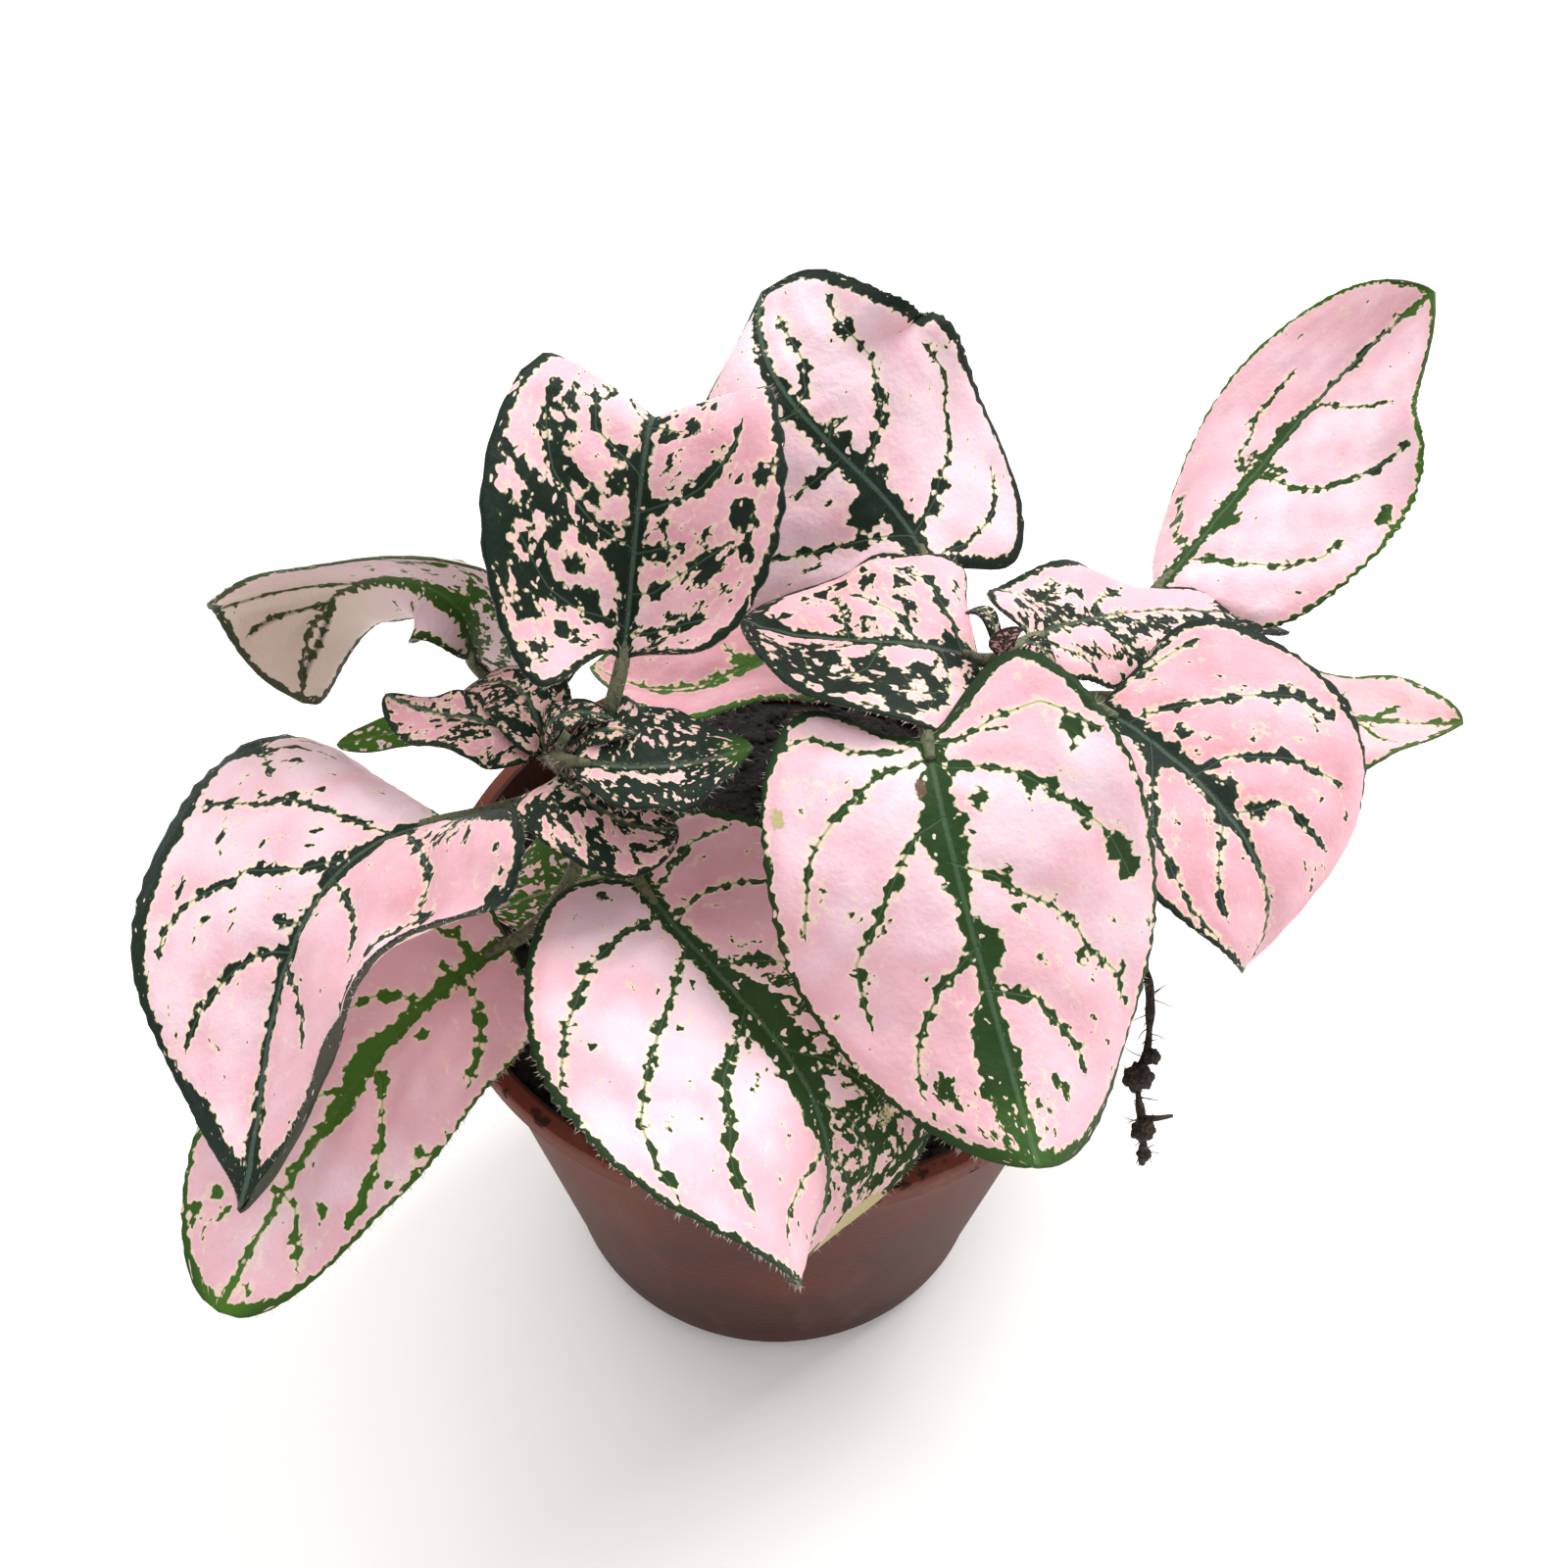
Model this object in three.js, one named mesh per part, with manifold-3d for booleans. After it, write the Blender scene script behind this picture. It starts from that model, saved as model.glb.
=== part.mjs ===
// Potted polka dot plant: a round nursery pot, its soil, four leafy shoots and
// one withered shoot that hangs over the rim.
// Millimetres, +Z up, origin at the centre of the pot's flat underside.
// The front, where the plant leans out over the rim, looks along -Y.

import * as THREE from "three";
import { mergeVertices } from "three/addons/utils/BufferGeometryUtils.js";
import Module from "manifold-3d";

const wasm = await Module();
wasm.setup();

// Driving dimensions

const pot = {
  rimRadius: 45,
  rimHeight: 4,
  rimStep: 1.2,
  height: 70,
  baseRadius: 31,
  footHeight: 3.5,
  footStep: 0.8,
  wall: 1.3,
  floor: 1.8,
  drainHoles: 6,
  drainRadius: 3,
  drainCircle: 20,
  sides: 48,
};

const soil = {
  level: 66,
  edgeDrop: 1.6,
  gap: 0.35,
  lump: 0.7,
  rings: 6,
};

const bladeThickness = 0.7;
const petioleRadius = 0.95;
const petioleBite = 3;
const stemHoleDepth = 0.8;
const stemHoleGap = 0.5;
const fullBlade = { rows: 14, halfColumns: 4 };
const youngBlade = { rows: 8, halfColumns: 2 };

// A stem follows four points, spaced evenly along it, from inside the soil to its tip.
const stems = {
  left: { points: [[-14, 4, 60], [-17, 2, 76], [-21, -2, 89], [-25.5, -6, 101]], radius: 1.7 },
  right: { points: [[14, 6, 60], [18, 7, 78], [22, 7.5, 92], [26.5, 8.5, 105]], radius: 1.7 },
  low_left: { points: [[-19, 12, 60], [-21, 11, 68], [-22.5, 10, 75], [-24, 9, 82]], radius: 1.3 },
  low_right: { points: [[22, 16, 60], [23, 16.5, 67], [24, 17, 74], [25, 18, 80]], radius: 1.3 },
};

// A leaf's fields. Pairs are its left and right half, seen from base to tip.
//   at: where its stalk leaves the stem, from 0 at the root to 1 at the top
//   rib: four points of the midrib, spaced evenly
//   wide, belly, point: each half's width, where it is widest, how fast it closes at the tip
//   lobe, lobeAt: how far each half reaches back past the stalk, and where along the leaf it does so most
//   roll: turn about the midrib at base and tip, in degrees
//   fold, curl: each half's rise off the midrib and its bend, at base and tip, in degrees
//   wave, ripples, phase: height, number and start of the ripples along the margin
const shootLeaves = {
  left: [
    {
      name: "front_middle", at: 0.62,
      rib: [[-16.5, -13.5, 87], [-2.5, -30.5, 85.5], [6, -43, 79.5], [1, -51.5, 62]],
      wide: [21.5, 30], belly: [0.4, 0.48], point: [1.25, 1.05], lobe: [12, 10], roll: [0, 20],
      fold: [[6, 0], [12, 22]], curl: [[26, 2], [-13, 40]], wave: 1, ripples: 2.3, phase: 50,
    },
    {
      name: "front_left", at: 0.68,
      rib: [[-38, -13.5, 98], [-51.5, -24, 95], [-55.5, -37.5, 85.5], [-54.5, -54.5, 83.5]],
      wide: [34, 32], belly: [0.2, 0.2], point: [0.55, 1.45], lobe: [8.5, 0.5], lobeAt: 0.24, roll: [-14, -14],
      fold: [[19, 5], [-1, 9]], curl: [[6, 70], [-25, 12]], wave: 1.5, ripples: 2.1, phase: 40,
    },
    {
      name: "back_left", at: 0.7,
      rib: [[-18.5, 0, 111], [-17.5, 9, 119.5], [-16, 17.5, 129.5], [-15, 24.5, 120.5]],
      wide: [19, 19], belly: [0.42, 0.46], point: [0.8, 0.8], lobe: [8.5, 2.5], roll: [-12, -2],
      fold: [[30, 16], [26, 18]], curl: [[45, -10], [35, 2]], wave: 0.6, ripples: 2.5, phase: 10,
    },
    {
      name: "inner", at: 0.99,
      rib: [[-23.5, -11.5, 106], [-17.5, -12, 106], [-11, -10, 104.5], [-3.5, -8.5, 106]],
      wide: [9.5, 7], belly: [0.44, 0.46], point: [0.85, 0.85], lobe: [-0.5, -1], roll: [-3, 1],
      fold: [[11, 9], [10, 8]], curl: [[-3, -17], [-7, -16]], wave: 0.6, ripples: 2.8, phase: 20,
    },
    {
      name: "young_front", at: 0.97,
      rib: [[-25, -8, 101], [-22.5, -13, 102], [-18, -14.5, 99.5], [-12, -12, 96]],
      wide: [6.5, 8], belly: [0.45, 0.45], point: [0.7, 0.7], lobe: [1, 1], wave: 0.4, young: true,
    },
    {
      name: "young_left", at: 0.99,
      rib: [[-28, -6.5, 102], [-32.5, -6, 106], [-39, -4.5, 106], [-46.5, 0.5, 104]],
      wide: [6, 3.5], belly: [0.45, 0.45], point: [0.7, 0.7], wave: 1, ripples: 2, young: true,
    },
    {
      name: "young_back", at: 0.99,
      rib: [[-27, -7, 103], [-28.5, -4.5, 107], [-31.5, -0.5, 107], [-37.5, 1.5, 104]],
      wide: [5, 5], belly: [0.45, 0.45], point: [0.6, 0.6], wave: 0.5, young: true,
    },
    {
      name: "bud_outer", at: 1,
      rib: [[-25.5, -8.5, 103], [-26.5, -7.5, 107], [-23.5, -7, 109], [-19, -7, 108]],
      wide: [2.5, 2], belly: [0.5, 0.5], point: [0.6, 0.6], wave: 0.2, young: true,
    },
    {
      name: "bud_inner", at: 1,
      rib: [[-25, -9, 103], [-23, -8, 106], [-20, -8.5, 108], [-16.5, -8, 107]],
      wide: [2.5, 2], belly: [0.5, 0.5], point: [0.6, 0.6], wave: 0.2, young: true,
    },
    {
      name: "shaded", at: 0.25,
      rib: [[-20, -0.5, 74], [-25.5, -2.5, 74.5], [-31, -4.5, 74], [-37, -7, 73]],
      wide: [9, 9], belly: [0.45, 0.45], point: [0.7, 0.7], lobe: [1, 1], wave: 0.8, young: true,
    },
  ],
  right: [
    {
      name: "front_right", at: 0.62,
      rib: [[15.5, -10, 109.5], [18.5, -24.5, 104], [23, -35.5, 93.5], [27, -49.5, 87.5]],
      wide: [24, 20.5], belly: [0.5, 0.42], point: [0.68, 0.72], lobe: [14, 11.5], roll: [-6, 6],
      fold: [[8, -12], [1, -12]], curl: [[10, -38], [-20, -38]], wave: 0.8, ripples: 2.6, phase: 100,
    },
    {
      name: "far_right", at: 0.5,
      rib: [[39.5, 12.5, 93], [48.5, 2, 93.5], [57, -9, 88], [57.5, -13.5, 73.5]],
      wide: [26, 19.5], belly: [0.42, 0.38], point: [0.5, 0.85], lobe: [4, 3], roll: [-8, 8],
      fold: [[8, 2], [9, 9]], curl: [[-2, -34], [-15, 5]], wave: 0.6, ripples: 2.5, phase: -30,
    },
    {
      name: "back_middle", at: 0.55,
      rib: [[17.5, 25, 105], [9, 32, 113.5], [-1, 37, 122], [-4.5, 55.5, 125]],
      wide: [24, 22.5], belly: [0.3, 0.4], point: [1.25, 0.4], lobe: [-0.5, 6], roll: [-2, 15],
      fold: [[-12, -12], [0, 14]], curl: [[-35, -35], [-34, 16]], wave: 1.3, ripples: 2.8, phase: 10,
    },
    {
      name: "back_right", at: 0.45,
      rib: [[53, 44, 87], [65, 57.5, 93], [78, 70, 102.5], [89.5, 71.5, 118.5]],
      wide: [17, 25.5], belly: [0.46, 0.4], point: [0.7, 0.45], lobe: [-1, 3], roll: [22, 6],
      fold: [[-8, 10], [3, 16]], curl: [[-60, 18], [-41, 25]], wave: 1, ripples: 1.7, phase: 0,
    },
    {
      name: "middle", at: 0.97,
      rib: [[23, 9.5, 103.5], [13.5, 6.5, 108.5], [4, 7, 108.5], [-5.5, 10, 108.5]],
      wide: [16, 18.5], belly: [0.38, 0.38], point: [0.65, 0.45], lobe: [4, 7], roll: [4, -14],
      fold: [[8, 13], [6, 7]], curl: [[-22, 6], [-17, -16]], wave: 0.5, ripples: 2.3, phase: 10,
    },
    {
      name: "small_right", at: 0.98,
      rib: [[30, 14, 103], [41, 26, 96.5], [55, 33.5, 91.5], [69.5, 34, 87.5]],
      wide: [10, 9.5], belly: [0.38, 0.38], point: [0.85, 0.6], lobe: [7.5, 0.5], roll: [-9, 16],
      fold: [[9, 5], [-3, 5]], curl: [[4, -30], [-44, -24]], wave: 1.6, ripples: 2.6, phase: 0,
    },
    {
      name: "bud_left", at: 1,
      rib: [[25.5, 8.5, 106], [24, 8, 110], [23, 9.5, 111], [21, 11.5, 109]],
      wide: [1.2, 1.2], belly: [0.4, 0.4], point: [0.6, 0.6], wave: 0, young: true,
    },
    {
      name: "bud_right", at: 1,
      rib: [[27.5, 8, 106], [28, 6.5, 109], [29.5, 5.5, 109], [31.5, 5.5, 106]],
      wide: [1.5, 1.5], belly: [0.5, 0.5], point: [0.6, 0.6], wave: 0, young: true,
    },
    {
      name: "bud_front", at: 1,
      rib: [[26.5, 9, 105], [25, 6.5, 109], [25.5, 5, 112], [27, 4.5, 113]],
      wide: [1.6, 1.6], belly: [0.4, 0.4], point: [0.6, 0.6], wave: 0, young: true,
    },
  ],
  low_left: [
    {
      name: "low_front", at: 0.75,
      rib: [[-31.5, -20.5, 84.5], [-41.5, -27.5, 80.5], [-51, -39.5, 74.5], [-60.5, -57, 65]],
      wide: [14.5, 16], belly: [0.42, 0.42], point: [0.45, 0.5], lobe: [3, 2], roll: [-1, 5],
      fold: [[12, 8], [12, 12]], curl: [[-2, -18], [-1, 5]], wave: 0.6, ripples: 2.5, phase: 10,
    },
    {
      name: "far_left", at: 0.97,
      rib: [[-41, 19.5, 93], [-43.5, 15, 108], [-57, 21.5, 101], [-61.5, 12, 91]],
      wide: [8.5, 18], belly: [0.6, 0.62], point: [0.4, 0.45], lobe: [-0.5, 14], roll: [65, 65],
      fold: [[14, -17], [38, 36]], curl: [[11, -60], [55, 12]], wave: 0.8, ripples: 3.3, phase: -30,
    },
    {
      name: "young_low", at: 0.93,
      rib: [[-43.5, 7, 92], [-47.5, 6.5, 92], [-52, 6, 91], [-56, 5.5, 90]],
      wide: [3, 3], belly: [0.4, 0.4], point: [0.7, 0.7], wave: 0.1, young: true,
    },
  ],
  low_right: [
    {
      name: "low_side", at: 0.9,
      rib: [[57, 30, 78], [68, 24.5, 82], [79, 21.5, 83], [88.5, 16.5, 88]],
      wide: [9, 11], belly: [0.52, 0.5], point: [0.65, 0.65], lobe: [0.5, 1], roll: [3, -2],
      fold: [[4, 13], [5, 12]], curl: [[-40, 10], [-34, 8]], wave: 0.8, ripples: 2.6, phase: 20,
    },
    {
      name: "low_back", at: 0.97,
      rib: [[4.5, 31.5, 86], [-5, 23, 89], [-14.5, 20.5, 87], [-26.5, 26, 85.5]],
      wide: [10.5, 10.5], belly: [0.4, 0.4], point: [0.6, 0.35], lobe: [-0.5, 1], roll: [0, -9],
      fold: [[9, 22], [8, 18]], curl: [[-31, 25], [-30, 20]], wave: 1, ripples: 2.5, phase: 10,
    },
  ],
};

const withered = {
  path: [[33, 9, 60], [35.5, 4, 69], [40, -5, 74.5], [45.5, -13, 73], [46.5, -19, 66.5], [45.5, -23, 61.5],
    [46.5, -27, 57], [47.5, -27.5, 50]],
  radius: 0.8,
  branch: [[46.2, -26, 58.5], [47.8, -26.5, 59.5], [50, -25.5, 58.5]],
  branchRadius: 0.5,
  crumbs: [
    { at: [45.5, -22.5, 62.5], radius: 2.2 },
    { at: [46.8, -21, 65], radius: 1.4 },
    { at: [46.4, -27, 57.5], radius: 2 },
    { at: [47.3, -27.6, 52.5], radius: 1.2 },
  ],
};

const finishes = {
  pot: new THREE.MeshStandardMaterial({ color: 0x7b5448, roughness: 0.6, metalness: 0 }),
  soil: new THREE.MeshStandardMaterial({ color: 0x241c18, roughness: 1, metalness: 0 }),
  leaf: new THREE.MeshStandardMaterial({ color: 0xe9bfc4, roughness: 0.55, metalness: 0 }),
  withered: new THREE.MeshStandardMaterial({ color: 0x33251d, roughness: 0.95, metalness: 0 }),
};

// Turning a closed surface into a solid and back

function toSolid(geometry) {
  geometry.deleteAttribute("normal");
  geometry.deleteAttribute("uv");
  const merged = mergeVertices(geometry, 1e-4);
  return new wasm.Manifold(new wasm.Mesh({
    numProp: 3,
    vertProperties: new Float32Array(merged.attributes.position.array),
    triVerts: new Uint32Array(merged.index.array),
  }));
}

function toGeometry(solid) {
  const mesh = solid.getMesh();
  const geometry = new THREE.BufferGeometry();
  geometry.setAttribute("position", new THREE.BufferAttribute(mesh.vertProperties, 3));
  geometry.setIndex(new THREE.BufferAttribute(mesh.triVerts, 1));
  geometry.computeVertexNormals();
  return geometry;
}

// Joins overlapping pieces into one body and drops any loose scrap.
function fused(pieces) {
  const bodies = wasm.Manifold.union(pieces).decompose();
  bodies.sort((one, other) => other.volume() - one.volume());
  return bodies[0];
}

function named(name, solid, finish) {
  const mesh = new THREE.Mesh(toGeometry(solid), finish);
  mesh.name = name;
  return mesh;
}

// Curves and tubes

// A cubic curve through four points at 0, 1/3, 2/3 and 1.
class FourPointCurve extends THREE.Curve {
  constructor(points) {
    super();
    this.points = points.map((point) => new THREE.Vector3(...point));
  }

  getPoint(t, target = new THREE.Vector3()) {
    const weights = [
      -4.5 * (t - 1 / 3) * (t - 2 / 3) * (t - 1),
      13.5 * t * (t - 2 / 3) * (t - 1),
      -13.5 * t * (t - 1 / 3) * (t - 1),
      4.5 * t * (t - 1 / 3) * (t - 2 / 3),
    ];
    target.set(0, 0, 0);
    weights.forEach((weight, i) => target.addScaledVector(this.points[i], weight));
    return target;
  }

  direction(t) {
    const step = 1e-3;
    return this.getPoint(t + step).sub(this.getPoint(t - step)).normalize();
  }
}

function smooth(points) {
  return new THREE.CatmullRomCurve3(points.map((point) => new THREE.Vector3(...point)));
}

function tube(path, radius, steps, sides = 6) {
  const section = new THREE.Shape();
  for (let i = 0; i < sides; i += 1) {
    const angle = (2 * Math.PI * i) / sides;
    const place = [radius * Math.cos(angle), radius * Math.sin(angle)];
    if (i === 0) {
      section.moveTo(...place);
    } else {
      section.lineTo(...place);
    }
  }
  section.closePath();
  return toSolid(new THREE.ExtrudeGeometry(section, { steps, extrudePath: path, bevelEnabled: false }));
}

function turned(profile, sides) {
  const points = profile.map(([r, z]) => new THREE.Vector2(r, z));
  const geometry = new THREE.LatheGeometry(points, sides);
  geometry.rotateX(Math.PI / 2);
  return geometry;
}

// Pot

function wallRadius(z) {
  const top = pot.rimRadius - pot.rimStep;
  return pot.baseRadius + pot.footStep + ((top - pot.baseRadius - pot.footStep) * z) / pot.height;
}

function buildPot() {
  const rimBottom = pot.height - pot.rimHeight;
  const shell = toSolid(turned([
    [0, 0],
    [pot.baseRadius - 0.6, 0],
    [pot.baseRadius, 0.6],
    [pot.baseRadius + 0.4, pot.footHeight],
    [wallRadius(pot.footHeight) + 0.3, pot.footHeight + 0.5],
    [wallRadius(rimBottom), rimBottom - 0.6],
    [pot.rimRadius - 0.2, rimBottom],
    [pot.rimRadius, pot.height - 0.5],
    [pot.rimRadius - 0.5, pot.height],
    [wallRadius(pot.height) - pot.wall, pot.height],
    [wallRadius(rimBottom) - pot.wall, rimBottom],
    [wallRadius(pot.floor) - pot.wall - 0.3, pot.floor],
    [0, pot.floor],
  ], pot.sides));
  const holes = [];
  for (let i = 0; i < pot.drainHoles; i += 1) {
    const angle = (2 * Math.PI * i) / pot.drainHoles;
    const hole = new THREE.CylinderGeometry(pot.drainRadius, pot.drainRadius, 3 * pot.floor, 16);
    hole.rotateX(Math.PI / 2);
    hole.translate(pot.drainCircle * Math.cos(angle), pot.drainCircle * Math.sin(angle), pot.floor / 2);
    holes.push(toSolid(hole));
  }
  return shell.subtract(wasm.Manifold.union(holes));
}

// Soil

function soilLump(x, y) {
  const broad = Math.sin(0.31 * x + 1.3) * Math.cos(0.27 * y - 0.4);
  const fine = Math.sin(0.83 * x - 0.6 * y) * Math.cos(0.71 * y + 0.5 * x);
  return soil.lump * (broad + 0.5 * fine);
}

// A plain hole round the lowest stretch of a stem, a little deeper than the stem reaches.
function stemHole(curve, shares, radius) {
  const root = curve.getPoint(0);
  const down = root.clone().sub(curve.getPoint(0.02)).normalize();
  const points = [root.addScaledVector(down, stemHoleDepth), ...shares.map((share) => curve.getPoint(share))];
  return tube(new THREE.CatmullRomCurve3(points), radius + stemHoleGap, 5, 12);
}

function buildSoil() {
  const floor = pot.floor + soil.gap;
  const radiusAt = (z) => wallRadius(z) - pot.wall - soil.gap - 0.1;
  const edge = soil.level - soil.edgeDrop;
  const profile = [[0, floor], [radiusAt(floor) - 0.3, floor], [radiusAt(edge), edge]];
  for (let ring = 1; ring <= soil.rings; ring += 1) {
    const share = 1 - ring / soil.rings;
    profile.push([radiusAt(edge) * share, soil.level]);
  }
  const geometry = turned(profile, pot.sides);
  const position = geometry.attributes.position;
  for (let i = 0; i < position.count; i += 1) {
    if (position.getZ(i) > edge + 0.1) {
      position.setZ(i, soil.level + soilLump(position.getX(i), position.getY(i)));
    }
  }
  const holes = Object.values(stems).map((stem) => {
    const curve = new FourPointCurve(stem.points);
    return stemHole(curve, [0.1, 0.25, 0.4, 0.55], stem.radius);
  });
  holes.push(stemHole(smooth(withered.path), [0.04, 0.08, 0.12, 0.17], withered.radius));
  return toSolid(geometry).subtract(wasm.Manifold.union(holes));
}

// Leaves

function radians(degrees) {
  return (degrees * Math.PI) / 180;
}

function mix(pair, t) {
  return pair[0] + (pair[1] - pair[0]) * t;
}

// Sine of x over x, for the two sums of an arc.
function arcShare(x) {
  return Math.abs(x) < 1e-6 ? 1 : Math.sin(x) / x;
}

// Half width as a share of the widest place, rounded at the base and pointed at the tip.
function outline(t, belly, point) {
  const base = (point * belly) / (1 - belly);
  const peak = belly ** base * (1 - belly) ** point;
  return (t ** base * (1 - t) ** point) / peak;
}

const leafDefaults = {
  lobe: [0, 0], lobeAt: 0.12, roll: [0, 0], fold: [[8, 8], [8, 8]], curl: [[-15, -15], [-15, -15]],
  wave: 0.8, ripples: 2.5, phase: 0, young: false,
};
const leftSkew = 1.3;

// A point of the blade: t runs from base to tip, s from -1 at the left margin to 1 at the right.
function bladePoint(leaf, rib, t, s) {
  const half = s < 0 ? 0 : 1;
  const across = Math.abs(s);
  const along = rib.direction(t);
  const chord = rib.points[3].clone().sub(rib.points[0]);
  const level = chord.cross(new THREE.Vector3(0, 0, 1)).normalize();
  const side = level.addScaledVector(along, -level.dot(along)).normalize();
  const face = side.clone().cross(along);
  const roll = radians(mix(leaf.roll, t));
  const turnedSide = side.clone().multiplyScalar(Math.cos(roll)).addScaledVector(face, Math.sin(roll));
  const turnedFace = face.clone().multiplyScalar(Math.cos(roll)).addScaledVector(side, -Math.sin(roll));
  const reach = leaf.wide[half] * outline(t, leaf.belly[half], leaf.point[half]) * across;
  const fold = radians(mix(leaf.fold[half], t));
  const bend = (radians(mix(leaf.curl[half], t)) * across) / 2;
  const out = reach * Math.cos(fold + bend) * arcShare(bend);
  const up = reach * Math.sin(fold + bend) * arcShare(bend);
  const lobeShare = t / leaf.lobeAt;
  const back = leaf.lobe[half] * lobeShare * Math.exp(1 - lobeShare) * across ** 2;
  const turn = 2 * Math.PI * leaf.ripples * t + radians(leaf.phase) + (half === 0 ? leftSkew : 0);
  const fade = Math.min(4 * t, 1) * Math.min(3 * (1 - t), 1);
  const ripple = leaf.wave * across ** 2 * Math.sin(turn) * fade;
  return rib.getPoint(t)
    .addScaledVector(turnedSide, (half === 0 ? -1 : 1) * out)
    .addScaledVector(turnedFace, up + ripple)
    .addScaledVector(along, -back);
}

// The blade as a closed skin: the same triangles on both faces, joined round the margin.
function bladeSolid(leaf, rib) {
  const { rows, halfColumns } = leaf.young ? youngBlade : fullBlade;
  const columns = 2 * halfColumns;
  const middle = [rib.getPoint(0)];
  for (let i = 1; i < rows; i += 1) {
    const share = i / rows;
    const t = 0.25 * (1 - Math.cos(Math.PI * share)) + 0.5 * share;
    for (let j = 0; j <= columns; j += 1) {
      middle.push(bladePoint(leaf, rib, t, j / halfColumns - 1));
    }
  }
  middle.push(rib.getPoint(1));
  const tip = middle.length - 1;
  const vertex = (i, j) => {
    if (i === 0) {
      return 0;
    }
    return i === rows ? tip : 1 + (i - 1) * (columns + 1) + j;
  };
  const faces = [];
  for (let i = 0; i < rows; i += 1) {
    for (let j = 0; j < columns; j += 1) {
      const [a, b, c, d] = [vertex(i, j), vertex(i, j + 1), vertex(i + 1, j + 1), vertex(i + 1, j)];
      if (a !== b) {
        faces.push([a, b, c]);
      }
      if (c !== d) {
        faces.push([a, c, d]);
      }
    }
  }
  const margin = [];
  for (let i = 0; i < rows; i += 1) {
    margin.push(vertex(i, columns));
  }
  for (let i = rows; i > 0; i -= 1) {
    margin.push(vertex(i, 0));
  }
  const sheet = new THREE.BufferGeometry().setFromPoints(middle);
  sheet.setIndex(faces.flat());
  sheet.computeVertexNormals();
  const normals = sheet.attributes.normal;
  const skin = [1, -1].flatMap((sign) => middle.map((point, i) => {
    const normal = new THREE.Vector3().fromBufferAttribute(normals, i);
    return point.clone().addScaledVector(normal, (sign * bladeThickness) / 2);
  }));
  const under = middle.length;
  const triangles = faces.flatMap(([a, b, c]) => [[a, b, c], [under + a, under + c, under + b]]);
  margin.forEach((here, i) => {
    const next = margin[(i + 1) % margin.length];
    triangles.push([next, here, under + here], [next, under + here, under + next]);
  });
  const blade = new THREE.BufferGeometry().setFromPoints(skin);
  blade.setIndex(triangles.flat());
  return toSolid(blade);
}

// The leaf stalk leaves the stem upwards and runs a little way into the blade, along its midrib.
function petioleSolid(leaf, rib, stem) {
  const start = stem.getPoint(leaf.at);
  const base = rib.getPoint(0);
  const span = start.distanceTo(base);
  const along = rib.direction(0);
  const bite = Math.min(petioleBite, 0.4 * rib.points[0].distanceTo(rib.points[1]));
  const path = new THREE.CurvePath();
  path.add(new THREE.CubicBezierCurve3(
    start,
    start.clone().addScaledVector(stem.direction(leaf.at), 0.35 * span),
    base.clone().addScaledVector(along, -0.4 * span),
    base,
  ));
  path.add(new THREE.LineCurve3(base, base.clone().addScaledVector(along, bite)));
  const radius = leaf.young ? 0.75 * petioleRadius : petioleRadius;
  const steps = Math.max(4, Math.min(12, Math.round(span / 4)));
  return tube(path, radius, steps, 5);
}

function buildShoot(name) {
  const stem = new FourPointCurve(stems[name].points);
  const pieces = [tube(stem, stems[name].radius, 9, 8)];
  shootLeaves[name].forEach((sizes) => {
    const leaf = { ...leafDefaults, ...sizes };
    const rib = new FourPointCurve(leaf.rib);
    pieces.push(petioleSolid(leaf, rib, stem), bladeSolid(leaf, rib));
  });
  return fused(pieces);
}

// Withered shoot

function buildWithered() {
  const pieces = [
    tube(smooth(withered.path), withered.radius, 18),
    tube(smooth(withered.branch), withered.branchRadius, 3),
  ];
  withered.crumbs.forEach(({ at, radius }) => {
    const crumb = new THREE.IcosahedronGeometry(radius, 1);
    crumb.scale(1, 0.85, 1.15);
    crumb.translate(...at);
    pieces.push(toSolid(crumb));
  });
  return fused(pieces);
}

const plant = new THREE.Group();
plant.name = "potted_polka_dot_plant";
plant.add(named("pot", buildPot(), finishes.pot));
plant.add(named("soil", buildSoil(), finishes.soil));
Object.keys(stems).forEach((name) => {
  plant.add(named(`shoot_${name}`, buildShoot(name), finishes.leaf));
});
plant.add(named("withered_shoot", buildWithered(), finishes.withered));

export default plant;
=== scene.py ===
"""Potted polka dot plant: the fine leaves, stalks, soil and pot that are shown in place of the CAD solids.

Sizes in the tables below are in millimetres and angles in degrees. Meshes are in metres, +Z up, with the
origin at the centre of the pot's flat underside and the front of the plant along -Y.
"""

import logging
import math
from dataclasses import dataclass, field, replace
from enum import Enum
from typing import Union

import bmesh
import bpy
import numpy as np
from mathutils import Matrix, Vector


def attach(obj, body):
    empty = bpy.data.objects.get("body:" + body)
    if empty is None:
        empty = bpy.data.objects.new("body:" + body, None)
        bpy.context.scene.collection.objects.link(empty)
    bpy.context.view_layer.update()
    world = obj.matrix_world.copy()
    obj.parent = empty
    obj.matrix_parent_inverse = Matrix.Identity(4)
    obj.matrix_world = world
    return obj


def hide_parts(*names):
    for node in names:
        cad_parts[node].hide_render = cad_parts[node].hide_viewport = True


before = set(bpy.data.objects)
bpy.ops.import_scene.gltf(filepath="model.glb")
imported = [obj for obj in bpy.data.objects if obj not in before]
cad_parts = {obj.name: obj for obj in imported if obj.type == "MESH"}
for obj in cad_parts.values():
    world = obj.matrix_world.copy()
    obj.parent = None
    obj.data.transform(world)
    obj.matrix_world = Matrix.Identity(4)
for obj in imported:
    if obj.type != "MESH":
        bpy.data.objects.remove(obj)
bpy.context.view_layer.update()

log = logging.getLogger("polka_dot_plant")

MM = 0.001
UP = np.array([0.0, 0.0, 1.0])
BODY = "root"

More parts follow.
